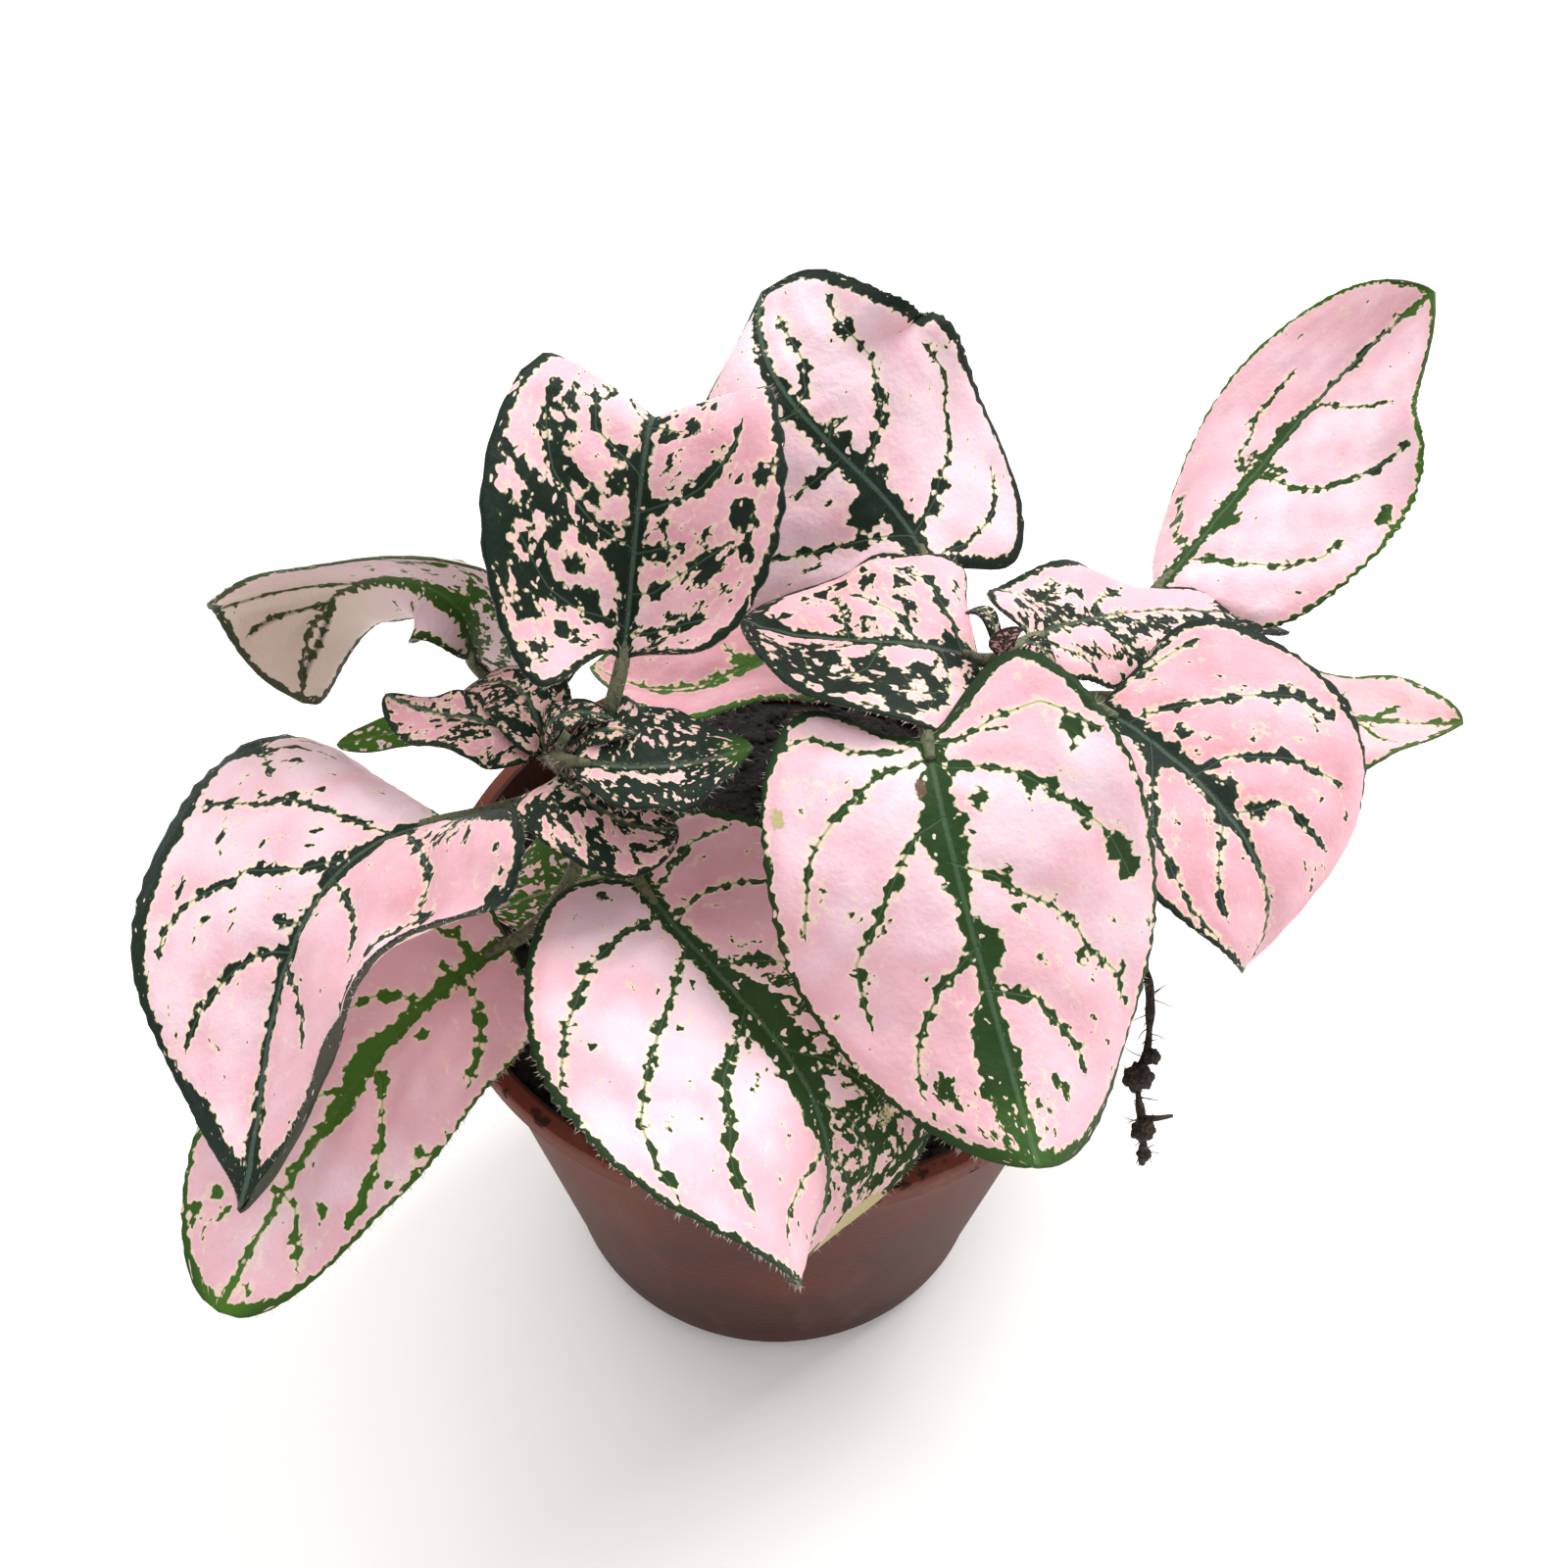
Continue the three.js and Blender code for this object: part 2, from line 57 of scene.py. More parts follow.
Array = np.ndarray
Pair = tuple[float, float]
Point = tuple[float, float, float]
Points = tuple[Point, ...]
FourPoints = tuple[Point, Point, Point, Point]
Colour = tuple[float, float, float, float]
Faces = list[tuple[int, ...]]
Piece = bpy.types.Object
Material = bpy.types.Material
Node = bpy.types.Node
Socket = bpy.types.NodeSocket


# Numbers and curves


def unit(vectors: Array) -> Array:
    """Vectors of length one along the last axis."""
    return vectors / np.maximum(np.linalg.norm(vectors, axis=-1, keepdims=True), 1e-9)


def linear(code: int) -> Colour:
    """A display colour, written as 0xRRGGBB, in linear light."""
    shares = [((code >> shift) & 255) / 255 for shift in (16, 8, 0)]
    light = [c / 12.92 if c <= 0.04045 else ((c + 0.055) / 1.055) ** 2.4 for c in shares]
    return (light[0], light[1], light[2], 1.0)


def smooth_step(low: float, high: float, value: Array) -> Array:
    """A soft step from 0 at low to 1 at high."""
    share = np.clip((value - low) / (high - low), 0, 1)
    return share * share * (3 - 2 * share)


def drift(place: Array, seed: float) -> Array:
    """A smooth wandering value, roughly from -1 to 1, over a length in millimetres."""
    waves = ((0.9, 1.7), (1.7, 2.9), (3.1, 4.3))
    return sum(np.sin(pace * place + start * seed) for pace, start in waves) / 2.2


def to_segments(points: Array, line: Array) -> tuple[Array, Array, Array]:
    """Finds how far points lie from a broken line.

    Args:
        points: the points, one a row.
        line: the corners of the line, one a row.

    Returns:
        The distance of each point, how far along the line its nearest place is, and in which segment.
    """
    start, step = line[:-1], np.diff(line, axis=0)
    length = np.linalg.norm(step, axis=1)
    before = np.concatenate([[0.0], np.cumsum(length)[:-1]])
    offset = points[:, None, :] - start[None]
    share = np.clip((offset * step).sum(2) / np.maximum(length**2, 1e-9), 0, 1)
    distance = np.linalg.norm(offset - share[..., None] * step, axis=2)
    nearest = distance.argmin(1)
    rows = np.arange(len(points))
    return distance[rows, nearest], before[nearest] + share[rows, nearest] * length[nearest], nearest


def side_of(points: Array, line: Array) -> Array:
    """Which side of a flat broken line each point is on, as 1 or -1."""
    segment = to_segments(points, line)[2]
    step, offset = np.diff(line, axis=0)[segment], points - line[segment]
    return np.where(step[:, 0] * offset[:, 1] < step[:, 1] * offset[:, 0], -1.0, 1.0)


def line_length(line: Array) -> float:
    """The length of a broken line."""
    return float(np.linalg.norm(np.diff(line, axis=0), axis=1).sum())


@dataclass(frozen=True)
class FourPointCurve:
    """A cubic curve through four points at 0, 1/3, 2/3 and 1."""

    points: FourPoints

    def at(self, t: Array) -> Array:
        """The places at shares t of the curve."""
        weights = [
            -4.5 * (t - 1 / 3) * (t - 2 / 3) * (t - 1),
            13.5 * t * (t - 2 / 3) * (t - 1),
            -13.5 * t * (t - 1 / 3) * (t - 1),
            4.5 * t * (t - 1 / 3) * (t - 2 / 3),
        ]
        return sum(w[..., None] * np.array(p) for w, p in zip(weights, self.points))

    def direction(self, t: Array) -> Array:
        """The directions at shares t of the curve."""
        return unit(self.at(t + 1e-3) - self.at(t - 1e-3))


def smooth_line(points: Points, steps: int) -> Array:
    """A smooth line of steps + 1 places through the points."""
    corners = np.array([points[0], *points, points[-1]], float)
    corners[0] = 2 * corners[1] - corners[2]
    corners[-1] = 2 * corners[-2] - corners[-3]
    share = np.linspace(0, len(points) - 1, steps + 1)
    first = np.minimum(share.astype(int), len(points) - 2)
    u = (share - first)[:, None]
    a, b, c, d = (corners[first + k] for k in range(4))
    return 0.5 * (2 * b + (c - a) * u + (2 * a - 5 * b + 4 * c - d) * u**2 + (3 * b - a - 3 * c + d) * u**3)


# Meshes


@dataclass
class Skin:
    """A mesh in the making: places in millimetres, faces, and values held at its corners."""

    places: Array
    faces: Faces
    values: dict[str, Array] = field(default_factory=dict)

    def to_object(self, name: str) -> Piece:
        """Makes a smoothly shaded Blender object of the mesh, at the origin."""
        mesh = bpy.data.meshes.new(name)
        mesh.from_pydata((self.places * MM).tolist(), [], self.faces)
        for label, value in self.values.items():
            vector = value.ndim == 2
            layer = mesh.attributes.new(label, "FLOAT_VECTOR" if vector else "FLOAT", "POINT")
            layer.data.foreach_set("vector" if vector else "value", value.astype(np.float32).ravel())
        mesh.shade_smooth()
        mesh.validate()
        return link(bpy.data.objects.new(name, mesh))


def link(piece: Piece) -> Piece:
    """Puts an object in the scene."""
    bpy.context.scene.collection.objects.link(piece)
    return piece


def evaluated(piece: Piece, name: str) -> bpy.types.Mesh:
    """A plain mesh of a piece with its modifiers at work."""
    graph = bpy.context.evaluated_depsgraph_get()
    mesh = bpy.data.meshes.new_from_object(piece.evaluated_get(graph))
    mesh.name = name
    return mesh


def dress(piece: Piece, material: Material | None = None) -> Piece:
    """Gives a piece its body and, where it has none yet, its material."""
    if material is not None:
        piece.data.materials.append(material)
    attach(piece, BODY)
    return piece


def joined(skins: list[Skin]) -> Skin:
    """One mesh of several that hold the same values."""
    faces, start = [], 0
    for skin in skins:
        faces += [tuple(start + corner for corner in face) for face in skin.faces]
        start += len(skin.places)
    values = {label: np.concatenate([skin.values[label] for skin in skins]) for label in skins[0].values}
    return Skin(np.concatenate([skin.places for skin in skins]), faces, values)


def wrapped(rings: int, sides: int) -> Faces:
    """Makes the faces of a closed round form.

    Args:
        rings: how many rings of places it has.
        sides: how many places are in a ring.

    Returns:
        The faces, for places that come as the first end, the rings and the last end.
    """
    last = 1 + rings * sides
    faces: Faces = []
    for k in range(sides):
        after = (k + 1) % sides
        faces.append((0, 1 + after, 1 + k))
        faces.append((last, last - sides + k, last - sides + after))
        for low in range(1, last - sides, sides):
            faces.append((low + k, low + after, low + sides + after, low + sides + k))
    return faces


def turned(outline: list[Pair], sides: int) -> Skin:
    """Makes a round solid about the upright axis.

    Args:
        outline: its (radius, height) from the middle of the underside round to the middle of the top.
        sides: how many sides it has.

    Returns:
        The mesh.
    """
    turns = np.linspace(0, 2 * math.pi, sides, endpoint=False)
    circle = np.stack([np.cos(turns), np.sin(turns), 0 * turns], axis=1)
    rings = [radius * circle + height * UP for radius, height in outline[1:-1]]
    first, last = [outline[0][1] * UP], [outline[-1][1] * UP]
    return Skin(np.concatenate([first, *rings, last]), wrapped(len(rings), sides))


def tube(line: Array, radii: Array, sides: int, **values: float) -> Skin:
    """Makes a closed round rod.

    Args:
        line: the places of its middle, one a row.
        radii: its radius at each place.
        sides: how many sides it has.
        values: numbers held at every corner of the mesh.

    Returns:
        The mesh, with rounded ends.
    """
    bulge = 0.6
    ahead = unit(np.gradient(line, axis=0))
    across = UP if abs(ahead[0][2]) < 0.9 else np.array([1.0, 0.0, 0.0])
    side = unit(np.cross(ahead[0], across))
    turns = np.linspace(0, 2 * math.pi, sides, endpoint=False)
    rings = []
    for place, forward, radius in zip(line, ahead, radii):
        side = unit(side - forward * (side @ forward))
        other = np.cross(forward, side)
        rings.append(place + radius * (np.outer(np.cos(turns), side) + np.outer(np.sin(turns), other)))
    first = line[0] - ahead[0] * radii[0] * bulge
    last = line[-1] + ahead[-1] * radii[-1] * bulge
    places = np.concatenate([[first], *rings, [last]])
    held = {label: np.full(len(places), float(value)) for label, value in values.items()}
    return Skin(places, wrapped(len(line), sides), held)


# Node trees

Feed = Union["Wire", Socket, float, int, tuple, Vector, Material]


class Wire:
    """A number that leaves a node, with the maths that can be done on it."""

    def __init__(self, tree: "Tree", socket: Socket) -> None:
        """Holds a socket and the tree that its maths goes into."""
        self.tree = tree
        self.socket = socket

    def __add__(self, other: Feed) -> "Wire":
        """This plus another."""
        return self.tree.maths("ADD", self, other)

    def __sub__(self, other: Feed) -> "Wire":
        """This less another."""
        return self.tree.maths("SUBTRACT", self, other)

    def __mul__(self, other: Feed) -> "Wire":
        """This times another."""
        return self.tree.maths("MULTIPLY", self, other)

    def __radd__(self, other: Feed) -> "Wire":
        """Another plus this."""
        return self.tree.maths("ADD", other, self)

    def __rsub__(self, other: Feed) -> "Wire":
        """Another less this."""
        return self.tree.maths("SUBTRACT", other, self)

    def __rmul__(self, other: Feed) -> "Wire":
        """Another times this."""
        return self.tree.maths("MULTIPLY", other, self)

    def least(self, other: Feed) -> "Wire":
        """The smaller of the two."""
        return self.tree.maths("MINIMUM", self, other)

    def most(self, other: Feed) -> "Wire":
        """The larger of the two."""
        return self.tree.maths("MAXIMUM", self, other)

    def step(self, low: Feed, high: Feed) -> "Wire":
        """A soft step from 0 at low to 1 at high."""
        return self.tree.ramp(self, low, high, 0.0, 1.0)

    def fade(self, low: Feed, high: Feed) -> "Wire":
        """A soft step from 1 at low to 0 at high."""
        return self.tree.ramp(self, low, high, 1.0, 0.0)

    def share(self) -> "Wire":
        """This, kept from 0 to 1."""
        return self.most(0.0).least(1.0)


class Tree:
    """A node tree and the ways to add to it."""

    def __init__(self, nodes: bpy.types.NodeTree) -> None:
        """Starts on an existing tree."""
        self.nodes = nodes

    def add(self, kind: str, settings: dict | None = None, feeds: dict | None = None) -> Node:
        """Adds a node.

        Args:
            kind: the node's type.
            settings: its own settings, set first.
            feeds: what goes into its sockets, by name or number.

        Returns:
            The node.
        """
        node = self.nodes.nodes.new(kind)
        for name, value in (settings or {}).items():
            setattr(node, name, value)
        for name, value in (feeds or {}).items():
            self.feed(node.inputs[name], value)
        return node

    def feed(self, socket: Socket, value: Feed) -> None:
        """Links or sets one socket."""
        if isinstance(value, Wire):
            self.nodes.links.new(value.socket, socket)
        elif isinstance(value, Socket):
            self.nodes.links.new(value, socket)
        else:
            socket.default_value = value

    def wire(
        self, kind: str, settings: dict | None = None, feeds: dict | None = None, out: int | str = 0
    ) -> Wire:
        """Adds a node and gives the number or vector that leaves it."""
        return Wire(self, self.add(kind, settings, feeds).outputs[out])

    def maths(self, operation: str, first: Feed, second: Feed) -> Wire:
        """One sum on two numbers."""
        return self.wire("ShaderNodeMath", {"operation": operation}, {0: first, 1: second})

    def vector(self, operation: str, first: Feed, second: Feed) -> Wire:
        """One sum on two vectors."""
        return self.wire("ShaderNodeVectorMath", {"operation": operation}, {0: first, 1: second})

    def scaled(self, vector: Feed, by: Feed) -> Wire:
        """A vector times a number."""
        return self.wire("ShaderNodeVectorMath", {"operation": "SCALE"}, {0: vector, "Scale": by})

    def ramp(self, value: Feed, low: Feed, high: Feed, start: float, end: float) -> Wire:
        """A soft step of a number between two values."""
        settings = {"interpolation_type": "SMOOTHSTEP"}
        return self.wire("ShaderNodeMapRange", settings, {0: value, 1: low, 2: high, 3: start, 4: end})

    def blend(self, share: Feed, first: Feed, second: Feed) -> Wire:
        """A colour between two, at a share from the first to the second."""
        node = self.add("ShaderNodeMix", {"data_type": "RGBA"}, {0: share})
        colours = [socket for socket in node.inputs if socket.type == "RGBA"]
        self.feed(colours[0], first)
        self.feed(colours[1], second)
        return Wire(self, [socket for socket in node.outputs if socket.type == "RGBA"][0])

    def coated(self, base: Feed, *coats: tuple[Wire, Feed]) -> Wire:
        """A colour under coats, each laid on by its own share."""
        for share, colour in coats:
            base = self.blend(share, base, colour)
        return base

    def stretched(self, place: Wire, by: Point) -> Wire:
        """A place with each of its numbers scaled."""
        return self.vector("MULTIPLY", place, by)

    def noise(self, place: Feed, scale: float, detail: float = 2.0, rough: float = 0.5) -> Wire:
        """A cloudy number about 0.5 over a place in millimetres."""
        feeds = {"Vector": place, "Scale": scale, "Detail": detail, "Roughness": rough}
        return self.wire("ShaderNodeTexNoise", {}, feeds)

    def cells(self, place: Feed, scale: float) -> Wire:
        """A number from a pattern of cells, 0 at their middles."""
        return self.wire("ShaderNodeTexVoronoi", {}, {"Vector": place, "Scale": scale}, "Distance")

    def held(self, name: str, out: str = "Vector") -> Wire:
        """Reads a vector or, from the output Fac, a number that the mesh holds."""
        return self.wire("ShaderNodeAttribute", {"attribute_name": name}, out=out)

    def parts(self, name: str) -> tuple[Wire, Wire, Wire]:
        """Reads three numbers held together by the mesh."""
        return self.split(self.held(name))

    def split(self, vector: Feed) -> tuple[Wire, Wire, Wire]:
        """The three numbers of a vector."""
        node = self.add("ShaderNodeSeparateXYZ", {}, {0: vector})
        return Wire(self, node.outputs[0]), Wire(self, node.outputs[1]), Wire(self, node.outputs[2])

    def length(self, vector: Feed) -> Wire:
        """The length of a vector."""
        return self.wire("ShaderNodeVectorMath", {"operation": "LENGTH"}, {0: vector}, "Value")

    def place(self) -> Wire:
        """The place on the piece, in millimetres."""
        return self.scaled(self.wire("ShaderNodeTexCoord", out="Object"), 1 / MM)

    def relief(self, height: Wire, depth: float) -> Wire:
        """A fine relief, from a height of 0 to 1 that stands for a depth in metres."""
        feeds = {"Height": height, "Strength": 1.0, "Distance": depth}
        return self.wire("ShaderNodeBump", {}, feeds, "Normal")


class Finish:
    """What every surface shares."""

    name = "finish"
    rough = 0.5
    gloss = 0.5

    def material(self) -> Material:
        """Builds the surface's material."""
        material = bpy.data.materials.new(self.name)
        material.use_nodes = True
        material.node_tree.nodes.clear()
        tree = Tree(material.node_tree)
        feeds = {"Roughness": self.rough, "Specular IOR Level": self.gloss, **self.paint(tree)}
        shader = tree.add("ShaderNodeBsdfPrincipled", {}, feeds)
        tree.add("ShaderNodeOutputMaterial", {}, {"Surface": shader.outputs[0]})
        return material

    def paint(self, tree: Tree) -> dict[str, Feed]:
        """The surface's colour and relief, and its roughness where that varies."""
        raise NotImplementedError


# Finishes


@dataclass(frozen=True)
class LeafFinish(Finish):
    """Soft pink leaf with jagged green marks along its veins.

    Scales are in waves or cells for each millimetre. Edges are where a soft change starts and ends, in
    millimetres from the rim of a mark, the middle of a vein, the midrib or the margin.
    """

    name = "leaf_blade"
    gloss = 0.14
    pale: Colour = linear(0xE1C6CF)
    pink: Colour = linear(0xDAA9B3)
    # The deepest pink, reached partly by the leaf's own colour and partly by painted shade.
    deep_pink_and_shade: Colour = linear(0xC88E97)
    cream: Colour = linear(0xE0D6B2)
    olive: Colour = linear(0x5C6833)
    lime: Colour = linear(0xA5AC6E)
    dark: Colour = linear(0x0D1B12)
    # Painted sheen: a greyer green laid in cloudy patches over the dark marks.
    grey_sheen: Colour = linear(0x13251A)
    fringe: Colour = linear(0x2F4420)
    sheen: Colour = linear(0x556B5B)
    bright: Colour = linear(0x3F661C)
    speck: Colour = linear(0x5A2A2A)
    under_pale: Colour = linear(0xF0E2D2)
    under_green: Colour = linear(0x3C4E2A)
    under_dark: Colour = linear(0x1C2A1A)
    dead: Colour = linear(0xB3A77C)
    rust: Colour = linear(0x5E4A38)
    cloud_scale: float = 0.12
    jag_scale: float = 0.6
    streak_scale: float = 0.5
    streak_stretch: Point = (0.58, 1.0, 1.0)
    island_scale: float = 0.9
    fine_scale: float = 2.6
    scallop_scale: float = 0.95
    speck_scale: float = 0.21
    speck_edge: Pair = (0.018, 0.03)
    pebble_scale: float = 1.3
    pebble_depth: float = 0.00022
    mark_edge: Pair = (-0.04, 0.06)
    fringe_edge: Pair = (-0.3, 0.0)
    olive_edge: Pair = (0.02, 0.16)
    cream_edge: Pair = (0.1, 0.75)
    vein_edge: Pair = (0.05, 0.19)
    vein_glow: Pair = (0.15, 0.7)
    rib_edge: Pair = (0.12, 0.4)
    margin_edge: Pair = (0.2, 3.0)

    def paint(self, tree: Tree) -> dict[str, Feed]:
        """Paints the marks where the mesh holds them, with edges broken up by cells and noise."""
        place = tree.place()
        mark, edge, rib = tree.parts("mark")
        signed_vein, girth, _ = tree.parts("vein")
        vein = tree.maths("ABSOLUTE", signed_vein, 0.0)
        # The first tint is how deep the pink is: partly the leaf's own colour, partly painted shade.
        tone, green, cover = tree.parts("tint")
        dead, rust, under = tree.parts("age")
        flow = tree.held("flow")

        # Where the marks are
        along = tree.stretched(flow, self.streak_stretch)
        coarse = tree.noise(along, self.jag_scale) - 0.5
        fine = tree.noise(place, self.fine_scale) - 0.5
        scallop = 0.42 - tree.cells(place, self.scallop_scale)
        jag = coarse * 1.7 + fine * 0.28 + scallop * 1.15
        streak = tree.noise(along, self.streak_scale, 3.0, 0.55)
        blotch = (0.74 - cover * 0.46 - streak) * 7.0 + fine * 0.25 + scallop * 0.9
        islands = (tree.noise(flow, self.island_scale, 1.0) - 0.71 + cover * 0.13) * 8.0
        field_mm = (mark.least(vein - girth) + jag).least(blotch).most(islands)
        dark_share = field_mm.fade(*self.mark_edge)
        vein_line = (vein + fine * 0.08).fade(*self.vein_edge)
        rib_line = (rib + fine * 0.25).fade(*self.rib_edge)

        cloud = tree.noise(place, self.cloud_scale) - 0.5
        # The pink deepens with the leaf's own colour, cloudy variation and nearness to the margin, and with
        # painted shade.
        warmth_and_shade = (tone + cloud * 0.9 + fine * 0.16 + edge.fade(*self.margin_edge) * 0.12).share()
        thread = tree.blend(coarse.step(-0.1, 0.12), self.olive, self.lime)
        specks = tree.cells(place, self.speck_scale).fade(*self.speck_edge)
        flesh = tree.coated(
            self.pale,
            (warmth_and_shade.step(0.0, 0.5), self.pink),
            (warmth_and_shade.step(0.5, 1.0), self.deep_pink_and_shade),
            (field_mm.fade(*self.cream_edge) * 0.5, self.cream),
            (field_mm.fade(*self.olive_edge) * 0.6, self.olive),
            (vein.fade(*self.vein_glow) * 0.35, self.cream),
            ((vein_line * 0.8).most(rib_line * 0.6), thread),
            (specks * 0.7, self.speck),
        )
        ink = tree.coated(
            self.dark,
            # painted sheen in greyer patches over the dark marks
            ((coarse * 1.6 + 0.4).share(), self.grey_sheen),
            (field_mm.step(*self.fringe_edge) * 0.5, self.fringe),
            ((vein_line * 0.35).most(rib_line * 0.45), self.sheen),
            (green, self.bright),
        )
        under_ink = tree.blend(green, self.under_dark, self.under_green)
        lower = tree.coated(
            self.under_pale,
            (tone, self.pink),
            (dark_share * 0.95, under_ink),
            ((vein + fine * 0.2).fade(0.1, 0.7) * 0.6, under_ink),
        )
        colour = tree.coated(
            flesh,
            (dark_share, ink),
            (under, lower),
            ((dead + fine * 0.8).step(0.45, 0.6), self.dead),
            ((rust + fine * 0.8).step(0.45, 0.65), self.rust),
        )
        pebble = tree.noise(place, self.pebble_scale, 3.0) * 0.6 - vein_line * 0.4 + dark_share * 0.08
        rough = self.rough + fine * 0.3 + dark_share * 0.06
        return {"Base Color": colour, "Roughness": rough, "Normal": tree.relief(pebble, self.pebble_depth)}


@dataclass(frozen=True)
class StalkFinish(Finish):
    """Hairy green-brown stems and leaf stalks."""

    name = "stalk"
    rough = 0.7
    green: Colour = linear(0x5E6B45)
    brown: Colour = linear(0x4A3A30)
    dark: Colour = linear(0x2A241E)
    streak_stretch: Point = (1.0, 1.0, 0.25)
    streak_scale: float = 1.4
    streak_depth: float = 0.0004
    patch_scale: float = 0.12

    def paint(self, tree: Tree) -> dict[str, Feed]:
        """Paints long streaks between green and brown."""
        place = tree.place()
        streaks = tree.noise(tree.stretched(place, self.streak_stretch), self.streak_scale, 3.0, 0.6)
        wood = (tree.noise(place, self.patch_scale) - 0.5) * 1.6 + tree.held("wood", "Fac")
        darker = streaks.step(0.48, 0.66) * 0.7
        colour = tree.coated(self.green, (wood.share(), self.brown), (darker, self.dark))
        return {"Base Color": colour, "Normal": tree.relief(streaks, self.streak_depth)}


@dataclass(frozen=True)
class HairFinish(Finish):
    """Short pale hairs."""

    name = "hair"
    rough = 0.6
    pale: Colour = linear(0xCFC8BC)
    warm: Colour = linear(0x9C9285)
    tuft_scale: float = 0.4

    def paint(self, tree: Tree) -> dict[str, Feed]:
        """Paints the hairs in two close colours."""
        tufts = tree.noise(tree.place(), self.tuft_scale, 1.0)
        return {"Base Color": tree.blend(tufts, self.pale, self.warm)}


@dataclass(frozen=True)
class PotFinish(Finish):
    """Satin moulded plastic of a brown terracotta colour, with soil smudged on the rim.

    Edges are the heights or, for the painted shade on the inner wall, the radii in millimetres where a soft
    change starts and ends.
    """

    name = "pot_plastic"
    rough = 0.42
    gloss = 0.08
    body: Colour = linear(0x36170E)
    light: Colour = linear(0x643327)
    dusty: Colour = linear(0x6A4A3E)
    # Painted shade for the inner wall.
    inner: Colour = linear(0x251610)
    smudge: Colour = linear(0x231A15)
    rim_edge: Pair = (65.5, 66.1)
    taper: float = 0.1714
    inside_shade_edge: Pair = (30.9, 31.3)
    floor_edge: Pair = (3.0, 5.0)
    dirt_edge: Pair = (60.0, 66.0)
    cloud_scale: float = 0.05
    powder_stretch: Point = (1.0, 1.0, 0.35)
    powder_scale: float = 0.16
    dirt_scale: float = 0.22
    dust_scale: float = 0.9
    grain_scale: float = 1.1
    grain_depth: float = 0.00006

    def paint(self, tree: Tree) -> dict[str, Feed]:
        """Paints the wall, the lighter rim band, painted shade on the inner wall and the smudges."""
        place = tree.place()
        _, _, height = tree.split(place)
        radius = tree.length(tree.stretched(place, (1.0, 1.0, 0.0)))
        cloud = tree.noise(place, self.cloud_scale, 3.0)
        rim = height.step(*self.rim_edge)
        stretched = tree.stretched(place, self.powder_stretch)
        powder = tree.noise(stretched, self.powder_scale, 4.0, 0.65).step(0.5, 0.75)
        # Painted shade: the inner wall is darkened where the pot shades itself.
        inside_shade = (radius - height * self.taper).fade(*self.inside_shade_edge) * height.step(*self.floor_edge)
        clods = tree.noise(place, self.dirt_scale, 4.0, 0.6) + height.step(58.0, 70.0) * 0.1
        dirt = clods.step(0.66, 0.72) * height.step(*self.dirt_edge)
        dust = tree.noise(place, self.dust_scale, 3.0, 0.7).step(0.64, 0.74)
        colour = tree.coated(
            self.body,
            ((height * 0.013 + cloud * 1.3 - 0.75).share(), self.light),
            (rim * 0.6, self.light),
            (powder * (rim * 0.45 + 0.22), self.dusty),
            (inside_shade * 0.85, self.inner),
            (dirt * 0.85, self.smudge),
            (dust * 0.25, self.smudge),
        )
        rough = self.rough + cloud * 0.16 + dirt * 0.35
        grain = tree.relief(tree.noise(place, self.grain_scale), self.grain_depth)
        return {"Base Color": colour, "Roughness": rough, "Normal": grain}


@dataclass(frozen=True)
class SoilFinish(Finish):
    """Dark damp peat."""

    name = "peat"
    rough = 0.95
    dark: Colour = linear(0x0E0B0A)
    brown: Colour = linear(0x1F1712)
    fibre: Colour = linear(0x5A4432)
    crumb_scale: float = 0.9
    fibre_stretch: Point = (0.5, 2.4, 1.0)
    fibre_scale: float = 0.8
    clod_scale: float = 2.2
    clod_depth: float = 0.0008

    def paint(self, tree: Tree) -> dict[str, Feed]:
        """Paints dark crumbs with a few lighter fibres."""
        place = tree.place()
        crumbs = tree.noise(place, self.crumb_scale, 4.0, 0.6).step(0.35, 0.68)
        fibres = tree.noise(tree.stretched(place, self.fibre_stretch), self.fibre_scale).step(0.66, 0.72)
        colour = tree.coated(self.dark, (crumbs, self.brown), (fibres * 0.6, self.fibre))
        clods = tree.noise(place, self.clod_scale, 4.0, 0.65)
        return {"Base Color": colour, "Normal": tree.relief(clods, self.clod_depth)}


@dataclass(frozen=True)
class WitheredFinish(Finish):
    """A dry dark string with peat on it."""

    name = "withered"
    rough = 0.9
    dark: Colour = linear(0x1B1410)
    brown: Colour = linear(0x4B382A)
    mottle_scale: float = 1.3
    crack_scale: float = 2.5
    crack_depth: float = 0.0006

    def paint(self, tree: Tree) -> dict[str, Feed]:
        """Paints mottled dry brown."""
        place = tree.place()
        mottle = tree.noise(place, self.mottle_scale, 4.0, 0.6).step(0.4, 0.7)
        cracks = tree.relief(tree.noise(place, self.crack_scale, 3.0), self.crack_depth)
        return {"Base Color": tree.blend(mottle, self.dark, self.brown), "Normal": cracks}


@dataclass(frozen=True)
class FloorFinish(Finish):
    """Plain white paper."""

    name = "floor_paper"
    rough = 0.9
    gloss = 0.1
    white: Colour = linear(0xFBF9F7)

    def paint(self, tree: Tree) -> dict[str, Feed]:
        """One flat colour."""
        return {"Base Color": self.white}


# Repeats made with Geometry Nodes


